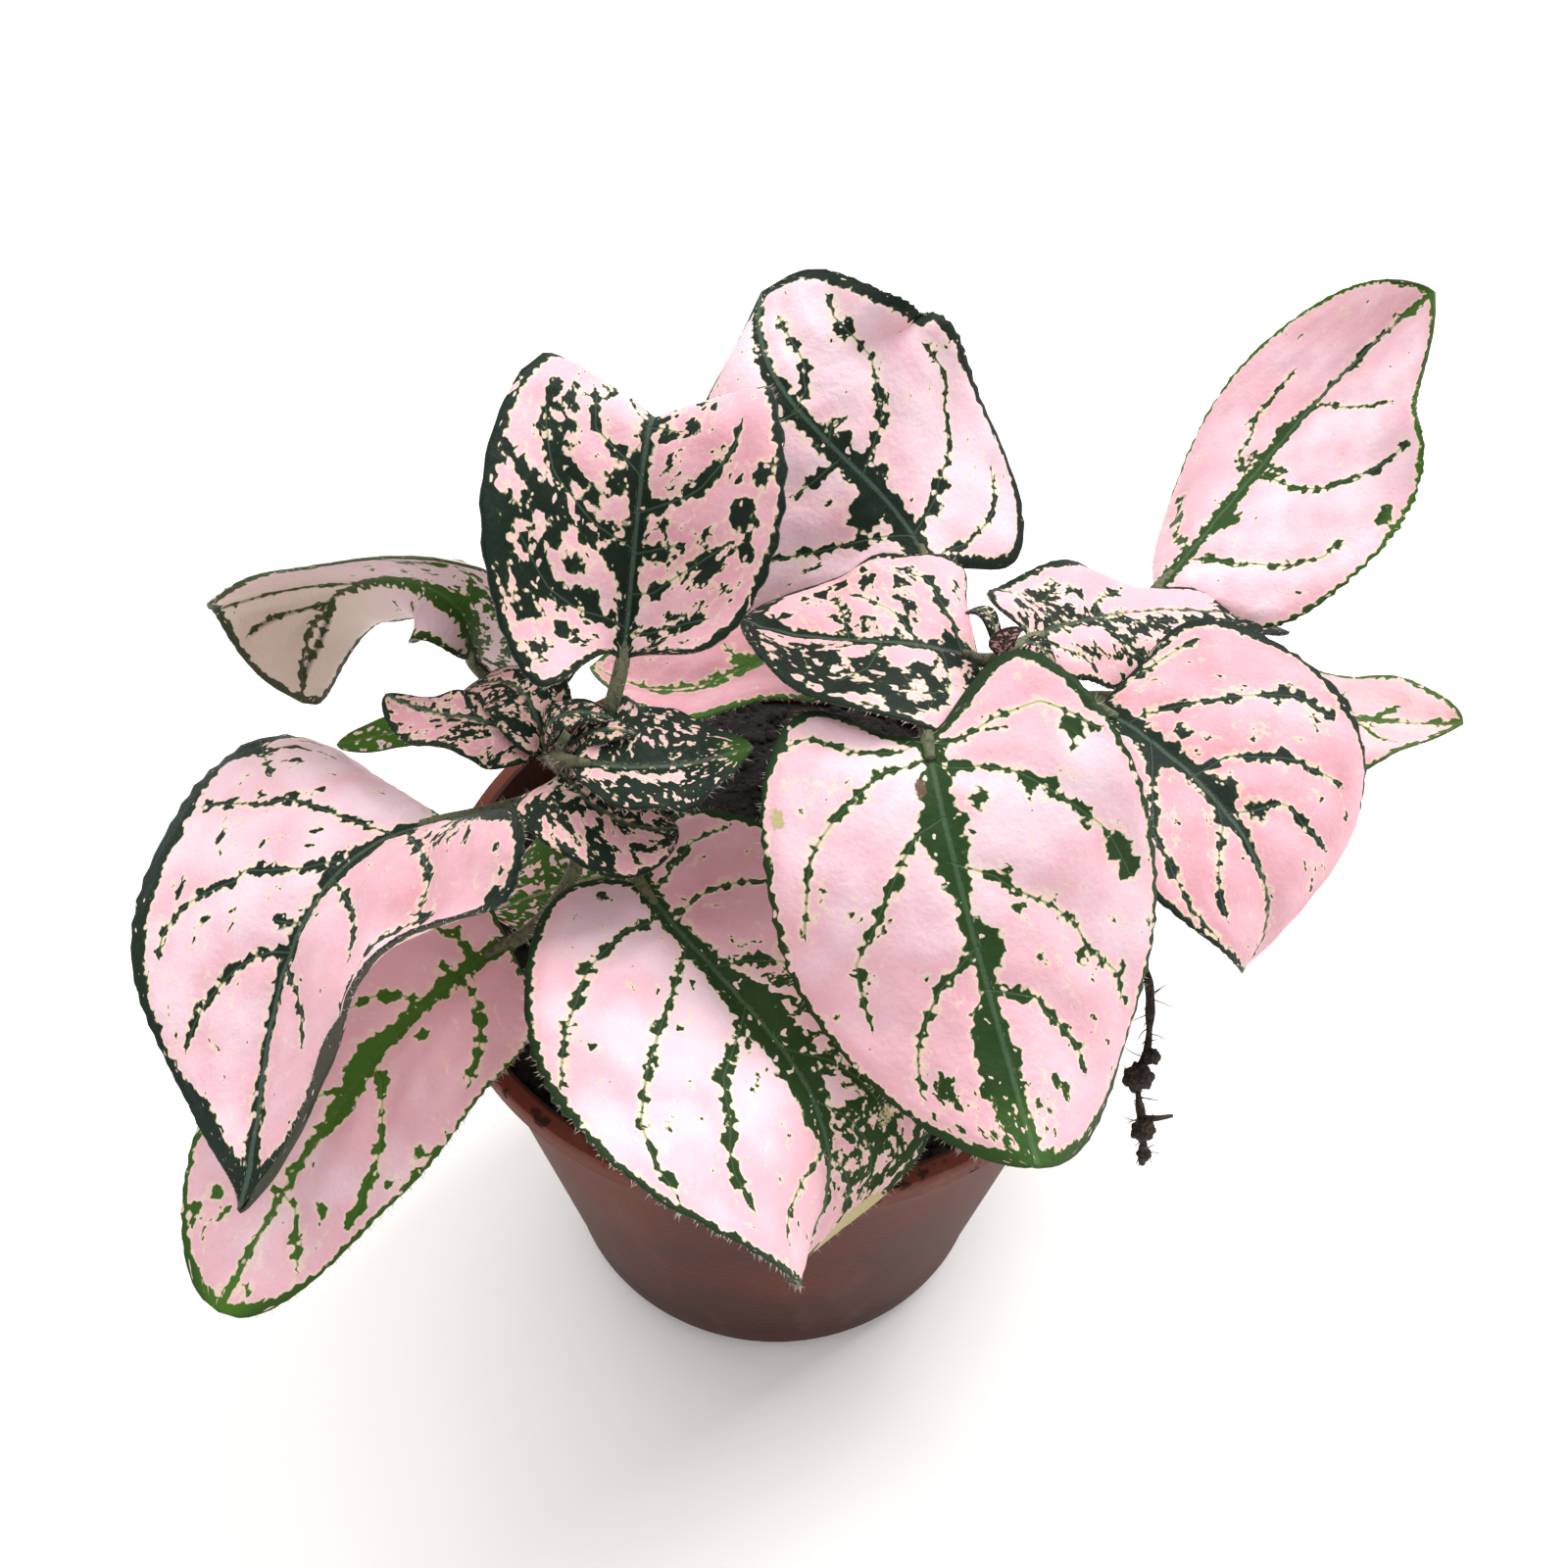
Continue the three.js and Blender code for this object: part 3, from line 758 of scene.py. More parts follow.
class Scatter:
    """A Geometry Nodes tree that sets a small shape on many places of a mesh."""

    def __init__(self, name: str, sizes: dict[str, float], seed: int) -> None:
        """Starts the tree.

        Args:
            name: the tree's name.
            sizes: its named inputs in metres or plain numbers.
            seed: the start of its random draws.
        """
        self.group = bpy.data.node_groups.new(name, "GeometryNodeTree")
        self.tree = Tree(self.group)
        self.sizes = sizes
        self.seed = seed
        interface = self.group.interface
        interface.new_socket("Geometry", in_out="INPUT", socket_type="NodeSocketGeometry")
        interface.new_socket("Geometry", in_out="OUTPUT", socket_type="NodeSocketGeometry")
        self.identifiers: dict[str, str] = {}
        for label in sizes:
            socket = interface.new_socket(label, in_out="INPUT", socket_type="NodeSocketFloat")
            self.identifiers[label] = socket.identifier
        self.entry = self.tree.add("NodeGroupInput")

    def size(self, label: str) -> Wire:
        """One of the tree's named inputs."""
        return Wire(self.tree, self.entry.outputs[label])

    def held(self, label: str, kind: str) -> Wire:
        """Reads values held by the mesh."""
        return self.tree.wire("GeometryNodeInputNamedAttribute", {"data_type": kind}, {"Name": label})

    def random(self, turn: int, low: Feed, high: Feed) -> Wire:
        """A random number, or a vector between two tuples, for each copy; each turn is a draw of its own."""
        data, kind = ("FLOAT_VECTOR", "VECTOR") if isinstance(low, tuple) else ("FLOAT", "VALUE")
        node = self.tree.add("FunctionNodeRandomValue", {"data_type": data}, {"Seed": self.seed + turn})
        ends = [socket for socket in node.inputs if socket.type == kind and socket.name in ("Min", "Max")]
        for socket, value in zip(ends, (low, high)):
            socket.default_value = value
        return Wire(self.tree, [socket for socket in node.outputs if socket.type == kind][0])

    def copies(self, points: Wire, shape: Wire, rotation: Wire, scale: Wire) -> Wire:
        """Sets a copy of a shape on each point."""
        feeds = {"Points": points, "Instance": shape, "Rotation": rotation, "Scale": scale}
        return self.tree.wire("GeometryNodeInstanceOnPoints", {}, feeds)

    def close(self, instances: Wire, material: Material, offset: Wire | None = None) -> None:
        """Ends the tree: copies become real, are moved a little where asked, and get their material."""
        tree = self.tree
        shape = tree.wire("GeometryNodeRealizeInstances", {}, {0: instances})
        if offset is not None:
            shape = tree.wire("GeometryNodeSetPosition", {}, {"Geometry": shape, "Offset": offset})
        shape = tree.wire("GeometryNodeSetMaterial", {}, {"Geometry": shape, "Material": material})
        tree.add("NodeGroupOutput", {}, {0: shape})

    def made_on(self, base: Piece, name: str) -> Piece:
        """Runs the tree on an object and keeps the result as a plain mesh.

        Args:
            base: the object that holds the places, which is removed afterwards.
            name: the new piece's name.

        Returns:
            The new piece.
        """
        modifier = base.modifiers.new("scatter", "NODES")
        modifier.node_group = self.group
        for label, identifier in self.identifiers.items():
            modifier[identifier] = self.sizes[label]
        mesh = evaluated(base, name)
        base.modifiers.remove(modifier)
        bpy.data.objects.remove(base)
        return link(bpy.data.objects.new(name, mesh))


@dataclass(frozen=True)
class Hairs:
    """Short straight hairs that stand on given places."""

    seed: int
    radius: float = 0.045
    sides: int = 3
    widths: Pair = (0.7, 1.2)

    def build(self, name: str, roots: Array, aims: Array, lengths: Array) -> Piece:
        """Grows one hair on each root.

        Args:
            name: the piece's name.
            roots: where the hairs start, in millimetres.
            aims: which way each points.
            lengths: how long each is, in millimetres.

        Returns:
            The piece, with its material.
        """
        base = Skin(roots, [], {"aim": unit(aims), "reach": lengths}).to_object(f"{name}_roots")
        scatter = Scatter(name, {"Hair Radius": self.radius * MM, "Length Scale": MM}, self.seed)
        tree = scatter.tree
        points = tree.wire("GeometryNodeMeshToPoints", {}, {"Mesh": scatter.size("Geometry")})
        radius = scatter.size("Hair Radius")
        cone = tree.wire("GeometryNodeMeshCone", {"fill_type": "NGON"}, {
            "Vertices": self.sides, "Radius Top": 0.0, "Radius Bottom": radius, "Depth": 1.0,
        })
        aim = {"Vector": scatter.held("aim", "FLOAT_VECTOR")}
        leaning = tree.wire("FunctionNodeAlignRotationToVector", {"axis": "Z"}, aim)
        reach = scatter.held("reach", "FLOAT") * scatter.size("Length Scale")
        width = scatter.random(1, *self.widths)
        size = tree.wire("ShaderNodeCombineXYZ", {}, {0: width, 1: width, 2: reach})
        scatter.close(scatter.copies(points, cone, leaning, size), HairFinish().material())
        return scatter.made_on(base, name)


@dataclass(frozen=True)
class Crumbs:
    """Loose lumps of peat on the soil: how many to a square metre, and their sizes in millimetres."""

    density: float = 260000.0
    smallest: float = 0.35
    largest: float = 1.5
    unevenness: float = 0.9
    roughness_scale: float = 900.0
    seed: int = 5

    def build(self, name: str, base: Piece, material: Material) -> Piece:
        """Strews crumbs over the faces that hold a true "top" value."""
        sizes = {"Density": self.density, "Lump Size": MM, "Unevenness": self.unevenness * MM}
        scatter = Scatter(name, sizes, self.seed)
        tree = scatter.tree
        compare = {"data_type": "FLOAT", "operation": "GREATER_THAN"}
        top = tree.wire("FunctionNodeCompare", compare, {0: scatter.held("top", "FLOAT"), 1: 0.5})
        points = tree.wire("GeometryNodeDistributePointsOnFaces", {}, {
            "Mesh": scatter.size("Geometry"), "Selection": top, "Density": scatter.size("Density"),
            "Seed": self.seed,
        })
        ball = {"Radius": scatter.size("Lump Size"), "Subdivisions": 2}
        lump = tree.wire("GeometryNodeMeshIcoSphere", {}, ball)
        draw = scatter.random(1, 0.0, 1.0)
        size = self.smallest + (self.largest - self.smallest) * draw * draw * draw
        spin = scatter.random(2, (0, 0, 0), (2 * math.pi,) * 3)
        here = tree.wire("GeometryNodeInputPosition")
        cloud = {"Vector": here, "Scale": self.roughness_scale, "Detail": 2.0}
        push = tree.vector("SUBTRACT", tree.wire("ShaderNodeTexNoise", {}, cloud, "Color"), (0.5, 0.5, 0.5))
        uneven = tree.scaled(push, scatter.size("Unevenness"))
        scatter.close(scatter.copies(points, lump, spin, size), material, uneven)
        return scatter.made_on(base, name)


# Leaves


@dataclass(frozen=True)
class BladeShape:
    """A leaf's form. Pairs are its left and right half, seen from base to tip.

    rib holds four points of the midrib; wide, belly and point are each half's width, where it is widest and
    how fast it closes at the tip; lobe is how far each half reaches back past the stalk, most of all at
    lobe_at; roll is the turn about the midrib at base and tip; fold and curl are each half's rise off the
    midrib and its bend, at base and tip; wave, ripples and phase are the height, number and start of the
    ripples along the margin.
    """

    rib: FourPoints
    wide: Pair
    belly: Pair = (0.45, 0.45)
    point: Pair = (0.7, 0.7)
    lobe: Pair = (0, 0)
    lobe_at: float = 0.12
    roll: Pair = (0, 0)
    fold: tuple[Pair, Pair] = ((8, 8), (8, 8))
    curl: tuple[Pair, Pair] = ((-15, -15), (-15, -15))
    wave: float = 0.8
    ripples: float = 2.5
    phase: float = 0

    left_skew = 1.3
    tooth = 0.009
    tooth_waves = ((1.0, 230, 2.0), (0.6, 397, 1.3))

    def at(self, t: Array, s: Array) -> Array:
        """Places of the blade's middle surface.

        Args:
            t: shares from base to tip.
            s: shares across, from -1 at the left margin to 1 at the right.

        Returns:
            The places in millimetres, one a row.
        """
        rib = FourPointCurve(self.rib)
        half = (s >= 0).astype(int)
        across = np.abs(s)

        # The two directions across the leaf, turned about the midrib
        along = rib.direction(t)
        chord = np.subtract(self.rib[3], self.rib[0])
        level = unit(np.cross(chord, UP))
        side = unit(level - along * (along @ level)[:, None])
        face = np.cross(side, along)
        roll = np.radians(np.interp(t, (0, 1), self.roll))[:, None]
        turned_side = side * np.cos(roll) + face * np.sin(roll)
        turned_face = face * np.cos(roll) - side * np.sin(roll)

        # How far out each place lies, with small teeth at the margin
        belly, point = np.array(self.belly)[half], np.array(self.point)[half]
        base = point * belly / (1 - belly)
        width = t**base * (1 - t) ** point / (belly**base * (1 - belly) ** point)
        waves = sum(size * np.sin(pace * t + skew * half) for size, pace, skew in self.tooth_waves)
        reach = np.array(self.wide)[half] * width * across * (1 + self.tooth * across**8 * waves)

        # Each half bends as an arc, and its margin ripples
        fold, curl = np.array(self.fold, float)[half], np.array(self.curl, float)[half]
        rise = np.radians(fold[:, 0] + (fold[:, 1] - fold[:, 0]) * t)
        bend = np.radians(curl[:, 0] + (curl[:, 1] - curl[:, 0]) * t) * across / 2
        arc = reach * np.sinc(bend / math.pi)
        out = np.where(half == 0, -1, 1) * arc * np.cos(rise + bend)
        share = t / self.lobe_at
        back = np.array(self.lobe, float)[half] * share * np.exp(1 - share) * across**2
        turn = 2 * math.pi * self.ripples * t + math.radians(self.phase) + self.left_skew * (half == 0)
        ends = np.minimum(4 * t, 1) * np.minimum(3 * (1 - t), 1)
        up = arc * np.sin(rise + bend) + self.wave * across**2 * np.sin(turn) * ends
        return rib.at(t) + turned_side * out[:, None] + turned_face * up[:, None] - along * back[:, None]

    def length(self) -> float:
        """The midrib's length."""
        return line_length(FourPointCurve(self.rib).at(np.linspace(0, 1, 40)))


@dataclass(frozen=True)
class Vein:
    """A side vein through (t, s) places, with the half width of its dark mark at its start and end."""

    path: tuple[Pair, ...]
    start: float = 0.42
    end: float = 0.1


@dataclass(frozen=True)
class Patch:
    """A soft oval area of a leaf: its middle (t, s), its size in t and s, and its strength."""

    t: float
    s: float
    along: float
    across: float
    share: float


Patches = tuple[Patch, ...]


@dataclass(frozen=True)
class Marks:
    """What is painted on a leaf.

    blots are (t, s, radius); rib_band and margin are (t, left half width, right half width); cover is where
    blotches spread, and grain how small they are; green, dead and rust are patches of bright green, of dry
    edge and of rust spots, and the shade patches are painted shade, a deeper and dimmer pink where the leaf
    lies in shade; under is where the paler underside shows. How deep the pink is over the whole leaf is
    partly its own colour and partly painted shade.
    """

    veins: tuple[Vein, ...] = ()
    blots: Points = ()
    rib_band: Points = ((0, 1, 1), (0.6, 0.7, 0.7), (1, 0.3, 0.3))
    margin: Points = ((0, 0.6, 0.6), (1, 0.6, 0.6))
    cover: Patches = ()
    green: Patches = ()
    # Patches of painted shade: a deeper, dimmer pink where the leaf lies in shade.
    painted_shade: Patches = ()
    dead: Patches = ()
    rust: Patches = ()
    under: Patches = ()
    # How deep the leaf's pink is: partly its own colour, partly painted shade where the leaf lies in shade.
    tone: float = 0.35
    grain: float = 1.0


def strength(patches: Patches, t: Array, s: Array) -> Array:
    """The strongest of the soft patches at each place of a leaf."""
    total = np.zeros_like(t)
    for patch in patches:
        far = ((t - patch.t) / patch.along) ** 2 + ((s - patch.s) / patch.across) ** 2
        total = np.maximum(total, patch.share * np.exp(-(far**2)))
    return total


@dataclass(frozen=True)
class Leaf:
    """One leaf: where it leaves its stem, from 0 to 1, its blade, its marks and its stalk."""

    name: str
    at: float
    shape: BladeShape
    marks: Marks
    young: bool = False

    cell = 0.62
    most_rows = 96
    most_columns = 40
    middle_thickness = 0.5
    margin_thickness = 0.26
    margin_width = 2.5
    rib_rise = 0.55
    rib_width = 0.65
    vein_rise = 0.22
    vein_width = 0.45
    pucker = 0.55
    pucker_width = 2.4
    lumps = 0.12
    young_share = 0.4

    vein_steps = 8
    vein_reach = 1.5
    no_vein = 99.0
    far_off = 60.0
    margin_steepness = 1.4
    flow_turn = (0.62, 0.78)
    half_apart = 40.0
    leaf_apart = 7.0
    face_apart = 90.0

    stalk_steps = 26
    stalk_leave = 0.35
    stalk_arrive = 0.4
    stalk_bite = 3.0

    hairs_per_mm = 2.6
    young_hairs_per_mm = 1.2
    hair_depth = 0.12
    hair_lean = 0.45
    hair_scatter = 0.28
    hair_lengths = (0.45, 1.15)
    young_hair_share = 0.6

    def grid(self) -> tuple[Array, Array, int]:
        """The (t, s) places of the blade's rows between base and tip, and how many are in a row."""
        rows = int(np.clip(self.shape.length() / self.cell, 14, self.most_rows))
        half_columns = int(np.clip(max(self.shape.wide) / self.cell, 6, self.most_columns))
        share = np.arange(1, rows) / rows
        t = 0.25 * (1 - np.cos(math.pi * share)) + 0.5 * share
        s = np.linspace(-1, 1, 2 * half_columns + 1)
        tt, ss = np.meshgrid(t, s, indexing="ij")
        return tt.ravel(), ss.ravel(), len(s)

    def nearest_vein(self, t: Array, s: Array, places: Array) -> tuple[Array, Array]:
        """Measures from each place to its nearest side vein.

        Args:
            t: shares from base to tip.
            s: shares across.
            places: the same places in space.

        Returns:
            The distance in millimetres and the vein's half width there. The distance is below zero on one
            side of the vein, so that a thin line can be drawn between the places of the mesh, and the sides
            take turns from vein to vein, so that no line shows half way between two.
        """
        seed = float(sum(map(ord, self.name)) % 17)
        size = np.array([self.shape.length(), max(self.shape.wide)])
        flat = np.stack([t, s], axis=1) * size
        vein_mm, girth = np.full_like(t, self.no_vein), np.zeros_like(t)
        facing = {True: 1.0, False: 1.0}
        for number, vein in enumerate(sorted(self.marks.veins, key=lambda vein: vein.path[0][0])):
            corners = np.array(vein.path, float)
            spans = len(corners) - 1
            fine = np.linspace(0, spans, self.vein_steps * spans + 1)
            path = np.stack([np.interp(fine, np.arange(spans + 1), corners[:, k]) for k in (0, 1)], axis=1)
            line = self.shape.at(path[:, 0], path[:, 1])
            distance, along, _ = to_segments(places, line)
            taper = vein.start + (vein.end - vein.start) * along / line_length(line)
            half = taper * (0.62 + 0.9 * drift(along, seed + number))
            closer = distance < np.abs(vein_mm)
            right = bool(path[:, 1].sum() > 0)
            vein_mm = np.where(closer, distance * side_of(flat, path * size) * facing[right], vein_mm)
            girth = np.where(closer, half, girth)
            facing[right] *= -1.0
        return vein_mm, girth

    def fields(self, t: Array, s: Array, places: Array) -> dict[str, Array]:
        """Works out the values that the leaf's material reads.

        Args:
            t: shares from base to tip.
            s: shares across.
            places: the same places in space.

        Returns:
            The values by name: how far each place is from a mark, margin, midrib and vein, and its tints;
                the
            first tint holds painted shade as well as the leaf's own pink.
        """
        marks = self.marks
        fine = np.linspace(0.0, 1.0, 60)
        left = s < 0

        def away(side: float) -> Array:
            """How far each place is from the midrib, at 0, or from a margin, at -1 or 1."""
            return to_segments(places, self.shape.at(fine, 0 * fine + side))[0]

        def width(table: Points) -> Array:
            """A half width along the leaf, with its own value on each half."""
            held = np.array(table, float)
            return np.where(left, *(np.interp(t, held[:, 0], held[:, k]) for k in (1, 2)))

        rib_mm, edge_mm = away(0.0), np.where(left, away(-1.0), away(1.0))
        off_margin = self.margin_steepness * (edge_mm - width(marks.margin))
        mark = np.minimum(rib_mm - width(marks.rib_band), off_margin)
        for at_t, at_s, radius in marks.blots:
            middle = self.shape.at(np.array([at_t]), np.array([at_s]))
            mark = np.minimum(mark, np.linalg.norm(places - middle, axis=1) - radius)
        vein_mm, girth = self.nearest_vein(t, s, places)
        off_vein = vein_mm * np.where(np.abs(vein_mm) < self.vein_reach, 1.0, self.far_off)
        across = np.abs(s) * np.where(left, *self.shape.wide)
        length_mm = t * self.shape.length()
        apart = np.where(left, self.half_apart, 0.0) + len(self.name) * self.leaf_apart
        cosine, sine = self.flow_turn
        flow = cosine * length_mm + sine * across, sine * length_mm - cosine * across, apart
        held = {
            "mark": (mark, edge_mm, rib_mm),
            "vein": (off_vein, girth, np.abs(vein_mm)),
            "flow": [marks.grain * part for part in flow],
            # The first tint adds the patches of painted shade to how deep the pink is.
            "tint": (marks.tone + strength(marks.painted_shade, t, s), strength(marks.green, t, s),
                     strength(marks.cover, t, s)),
            "age": [strength(patches, t, s) for patches in (marks.dead, marks.rust, marks.under)],
        }
        return {label: np.stack(parts, axis=1) for label, parts in held.items()}

    def lumpy(self, places: Array) -> Array:
        """A gentle unevenness of the flesh, in millimetres, at each place."""
        x, y, z = places.T
        broad = np.sin(0.7 * x + 0.6 * z) * np.sin(0.9 * y - 0.5 * x)
        return self.lumps * (broad + 0.5 * np.sin(1.5 * x - y) * np.sin(1.2 * z + y + 1))

    def blade(self) -> Skin:
        """Builds the blade as a closed skin: ribs below, grooves above and flesh raised between veins."""
        t, s, wide = self.grid()
        inner = self.shape.at(t, s)
        ends = self.shape.at(np.array([0.0, 1.0]), np.zeros(2))
        t, s = np.concatenate([[0.0], t, [1.0]]), np.concatenate([[0.0], s, [0.0]])
        middle = np.concatenate([ends[:1], inner, ends[1:]])
        values = self.fields(t, s, middle)
        lattice = inner.reshape(-1, wide, 3)
        normal = unit(np.cross(np.gradient(lattice, axis=1), np.gradient(lattice, axis=0)))
        first, last = normal[:1, wide // 2], normal[-1:, wide // 2]
        normal = np.concatenate([first, normal.reshape(-1, 3), last])

        edge_mm, rib_mm = values["mark"][:, 1], values["mark"][:, 2]
        vein_mm = np.minimum(values["vein"][:, 2], rib_mm)
        calm = smooth_step(0.0, self.margin_width, edge_mm)
        size = (self.young_share if self.young else 1.0) * calm
        raised = self.pucker * (0.5 - np.exp(-((vein_mm / self.pucker_width) ** 2)))
        lift = size * (raised + self.lumpy(middle))
        thick = self.margin_thickness + (self.middle_thickness - self.margin_thickness) * calm
        taper = 0.25 + smooth_step(0, 0.1, t) * (1 - t)
        ridge = self.rib_rise * (self.young_share if self.young else 1.0) * taper
        ridge *= np.exp(-((rib_mm / self.rib_width) ** 2))
        ridge += self.vein_rise * size * np.exp(-((vein_mm / self.vein_width) ** 2))
        upper = middle + normal * (lift + thick / 2)[:, None]
        lower = middle + normal * (lift - thick / 2 - ridge)[:, None]
        return self.closed(upper, lower, values, wide)

    def closed(self, upper: Array, lower: Array, values: dict[str, Array], wide: int) -> Skin:
        """Joins the two faces of the blade round the margin.

        Args:
            upper: places of the upper face, base first, tip last, rows between.
            lower: the same for the lower face.
            values: what the upper face's places hold.
            wide: how many places are in a row.

        Returns:
            The closed mesh.
        """
        count = len(upper)
        inner = np.arange(1, count - 1).reshape(-1, wide).tolist()
        corners = [[0] * wide, *inner, [count - 1] * wide]
        faces: Faces = []
        for row, after in zip(corners, corners[1:]):
            for around in zip(row, row[1:], after[1:], after):
                face = tuple(dict.fromkeys(around))
                faces += [face, tuple(count + k for k in reversed(face))]
        edge = [row[-1] for row in corners[:-1]] + [row[0] for row in corners[:0:-1]]
        for here, after in zip(edge, edge[1:] + edge[:1]):
            faces.append((after, here, count + here, count + after))
        both = {label: np.concatenate([value, value]) for label, value in values.items()}
        both["age"][count:, 2] = 1.0
        both["flow"][count:, 2] += self.face_apart
        return Skin(np.concatenate([upper, lower]), faces, both)

    def stalk_line(self, stem: FourPointCurve) -> Array:
        """The middle of the leaf stalk, from the stem to a little way into the blade."""
        rib = FourPointCurve(self.shape.rib)
        leave, start_of_rib = np.array([self.at]), np.array([0.0])
        start, base = stem.at(leave)[0], rib.at(start_of_rib)[0]
        along = rib.direction(start_of_rib)[0]
        span = float(np.linalg.norm(base - start))
        near = start + self.stalk_leave * span * stem.direction(leave)[0]
        far = base - self.stalk_arrive * span * along
        u = np.linspace(0, 1, self.stalk_steps)[:, None]
        curve = (1 - u) ** 3 * start + 3 * (1 - u) ** 2 * u * near + 3 * (1 - u) * u**2 * far + u**3 * base
        first_span = float(np.linalg.norm(np.subtract(self.shape.rib[0], self.shape.rib[1])))
        bite = min(self.stalk_bite, 0.4 * first_span)
        return np.concatenate([curve, [base + along * bite * share for share in (0.33, 0.66, 1.0)]])

    def margin_hairs(self, draw: np.random.Generator) -> tuple[Array, Array, Array]:
        """Roots, directions and lengths of the hairs along the margin."""
        count = int(self.shape.length() * (self.young_hairs_per_mm if self.young else self.hairs_per_mm))
        roots, aims = [], []
        for sign in (-1.0, 1.0):
            t = np.sort(draw.uniform(0.02, 0.985, count))
            margin = sign * np.ones(count)
            outer = self.shape.at(t, margin)
            outward = unit(outer - self.shape.at(t, 0.95 * margin))
            ahead = unit(self.shape.at(t + 0.004, margin) - outer)
            roots.append(outer - self.hair_depth * outward)
            aims.append(outward + self.hair_lean * ahead + draw.normal(0, self.hair_scatter, (count, 3)))
        lengths = draw.uniform(*self.hair_lengths, 2 * count)
        if self.young:
            lengths *= self.young_hair_share
        return np.concatenate(roots), np.concatenate(aims), lengths


BUSY = (Patch(0.45, -0.5, 0.5, 0.6, 0.66), Patch(0.45, 0.5, 0.5, 0.6, 0.58), Patch(0.95, 0, 0.1, 1, 0.8))
# Young leaves get a deeper, dimmer pink: partly their own colour, partly painted shade.
YOUNG = Marks(
    rib_band=((0, 0.5, 0.5), (1, 0.2, 0.2)), margin=((0, 0.4, 0.4),), cover=BUSY, tone=0.75, grain=1.5,
)
PINKER_YOUNG = replace(
    YOUNG, cover=(Patch(0.5, -0.5, 0.5, 0.6, 0.42), Patch(0.5, 0.5, 0.5, 0.6, 0.36)), tone=0.85,
)
BUD = Marks(
    rib_band=((0, 0.3, 0.3), (1, 0.2, 0.2)), margin=((0, 0.3, 0.3), (1, 0.4, 0.4)), cover=BUSY, tone=0.8,
    grain=2,
)
FRONT_MIDDLE = Leaf(
    "front_middle", 0.62,
    BladeShape(
        ((-16.5, -13.5, 87), (-2.5, -30.5, 85.5), (5.6, -42.4, 79.4), (1.3, -51.5, 64.2)), (21.5, 30),
        belly=(0.4, 0.48), point=(1.29, 1.11), lobe=(12, 10), roll=(0, 36.5), fold=((6, 9), (12, 8)),
        curl=((26, 16), (-13, 30)), wave=1, ripples=2.3, phase=50,
    ),
    Marks(
        veins=(
            Vein(((0.06, 0.05), (0.1, 0.49), (0.135, 0.6), (0.175, 0.72), (0.225, 0.78), (0.26, 0.84),
                  (0.355, 0.94))),
            Vein(((0.13, 0), (0.185, 0.2), (0.285, 0.44), (0.35, 0.57), (0.46, 0.76), (0.605, 0.9))),
            Vein(((0.3, 0), (0.425, 0.32), (0.51, 0.4), (0.575, 0.5), (0.635, 0.58), (0.68, 0.62),
                  (0.72, 0.68)), 0.75, 0.4),
            Vein(((0.68, 0), (0.8, 0.6)), 0.25),
            Vein(((0.03, -0.4), (0.05, -0.62), (0.09, -0.8), (0.14, -0.9)), 0.3),
            Vein(((0.07, 0), (0.1, -0.4), (0.13, -0.53), (0.175, -0.65), (0.21, -0.7)), 0.5),
            Vein(((0.2, 0), (0.235, -0.2), (0.28, -0.33), (0.325, -0.4), (0.37, -0.43)), 1, 0.6),
            Vein(((0.42, 0), (0.5, -0.2), (0.66, -0.5)), 0.7, 0.3),
            Vein(((0.56, 0), (0.72, -0.42), (0.8, -0.6)), 0.6, 0.3),
            Vein(((0.7, 0), (0.84, -0.5)), 0.5, 0.3),
        ),
        blots=((0.175, 0.72, 0.8), (0.225, 0.78, 1), (0.26, 0.84, 0.8), (0.285, 0.44, 0.8),
               (0.46, 0.76, 0.8), (0.58, 0.87, 1), (0.425, 0.32, 1), (0.55, 0.47, 1), (0.65, 0.6, 0.9),
               (0.06, 0.75, 0.6)),
        rib_band=((0.1, 1, 1), (0.2, 1.5, 1.5), (0.3, 3, 2.2), (0.45, 3, 2.6), (0.55, 1.6, 2.5),
                  (0.64, 0.9, 2), (0.7, 0.3, 0.5), (1, 0.2, 0.2)),
        margin=((0, 0.9, 0.8), (0.6, 0.8, 0.6), (1, 0.6, 0.6)),
        cover=(Patch(0.38, -0.22, 0.2, 0.24, 0.5), Patch(0.66, -0.6, 0.22, 0.55, 0.6),
               Patch(0.5, 0, 0.6, 1.2, 0.08)),
        green=(Patch(0.5, -0.2, 0.8, 1.4, 0.22),),
        dead=(Patch(0.88, -0.9, 0.07, 0.32, 1), Patch(0.66, -0.5, 0.03, 0.1, 0.6)),
        # Painted shade: deeper, dimmer pink where this leaf lies in shade.
        painted_shade=(Patch(0.12, -0.5, 0.2, 0.6, 0.4), Patch(0.45, -0.8, 0.4, 0.5, 0.35),
               Patch(0.85, 0, 0.25, 1.2, 0.3)),
        tone=0.22,
    ),
)
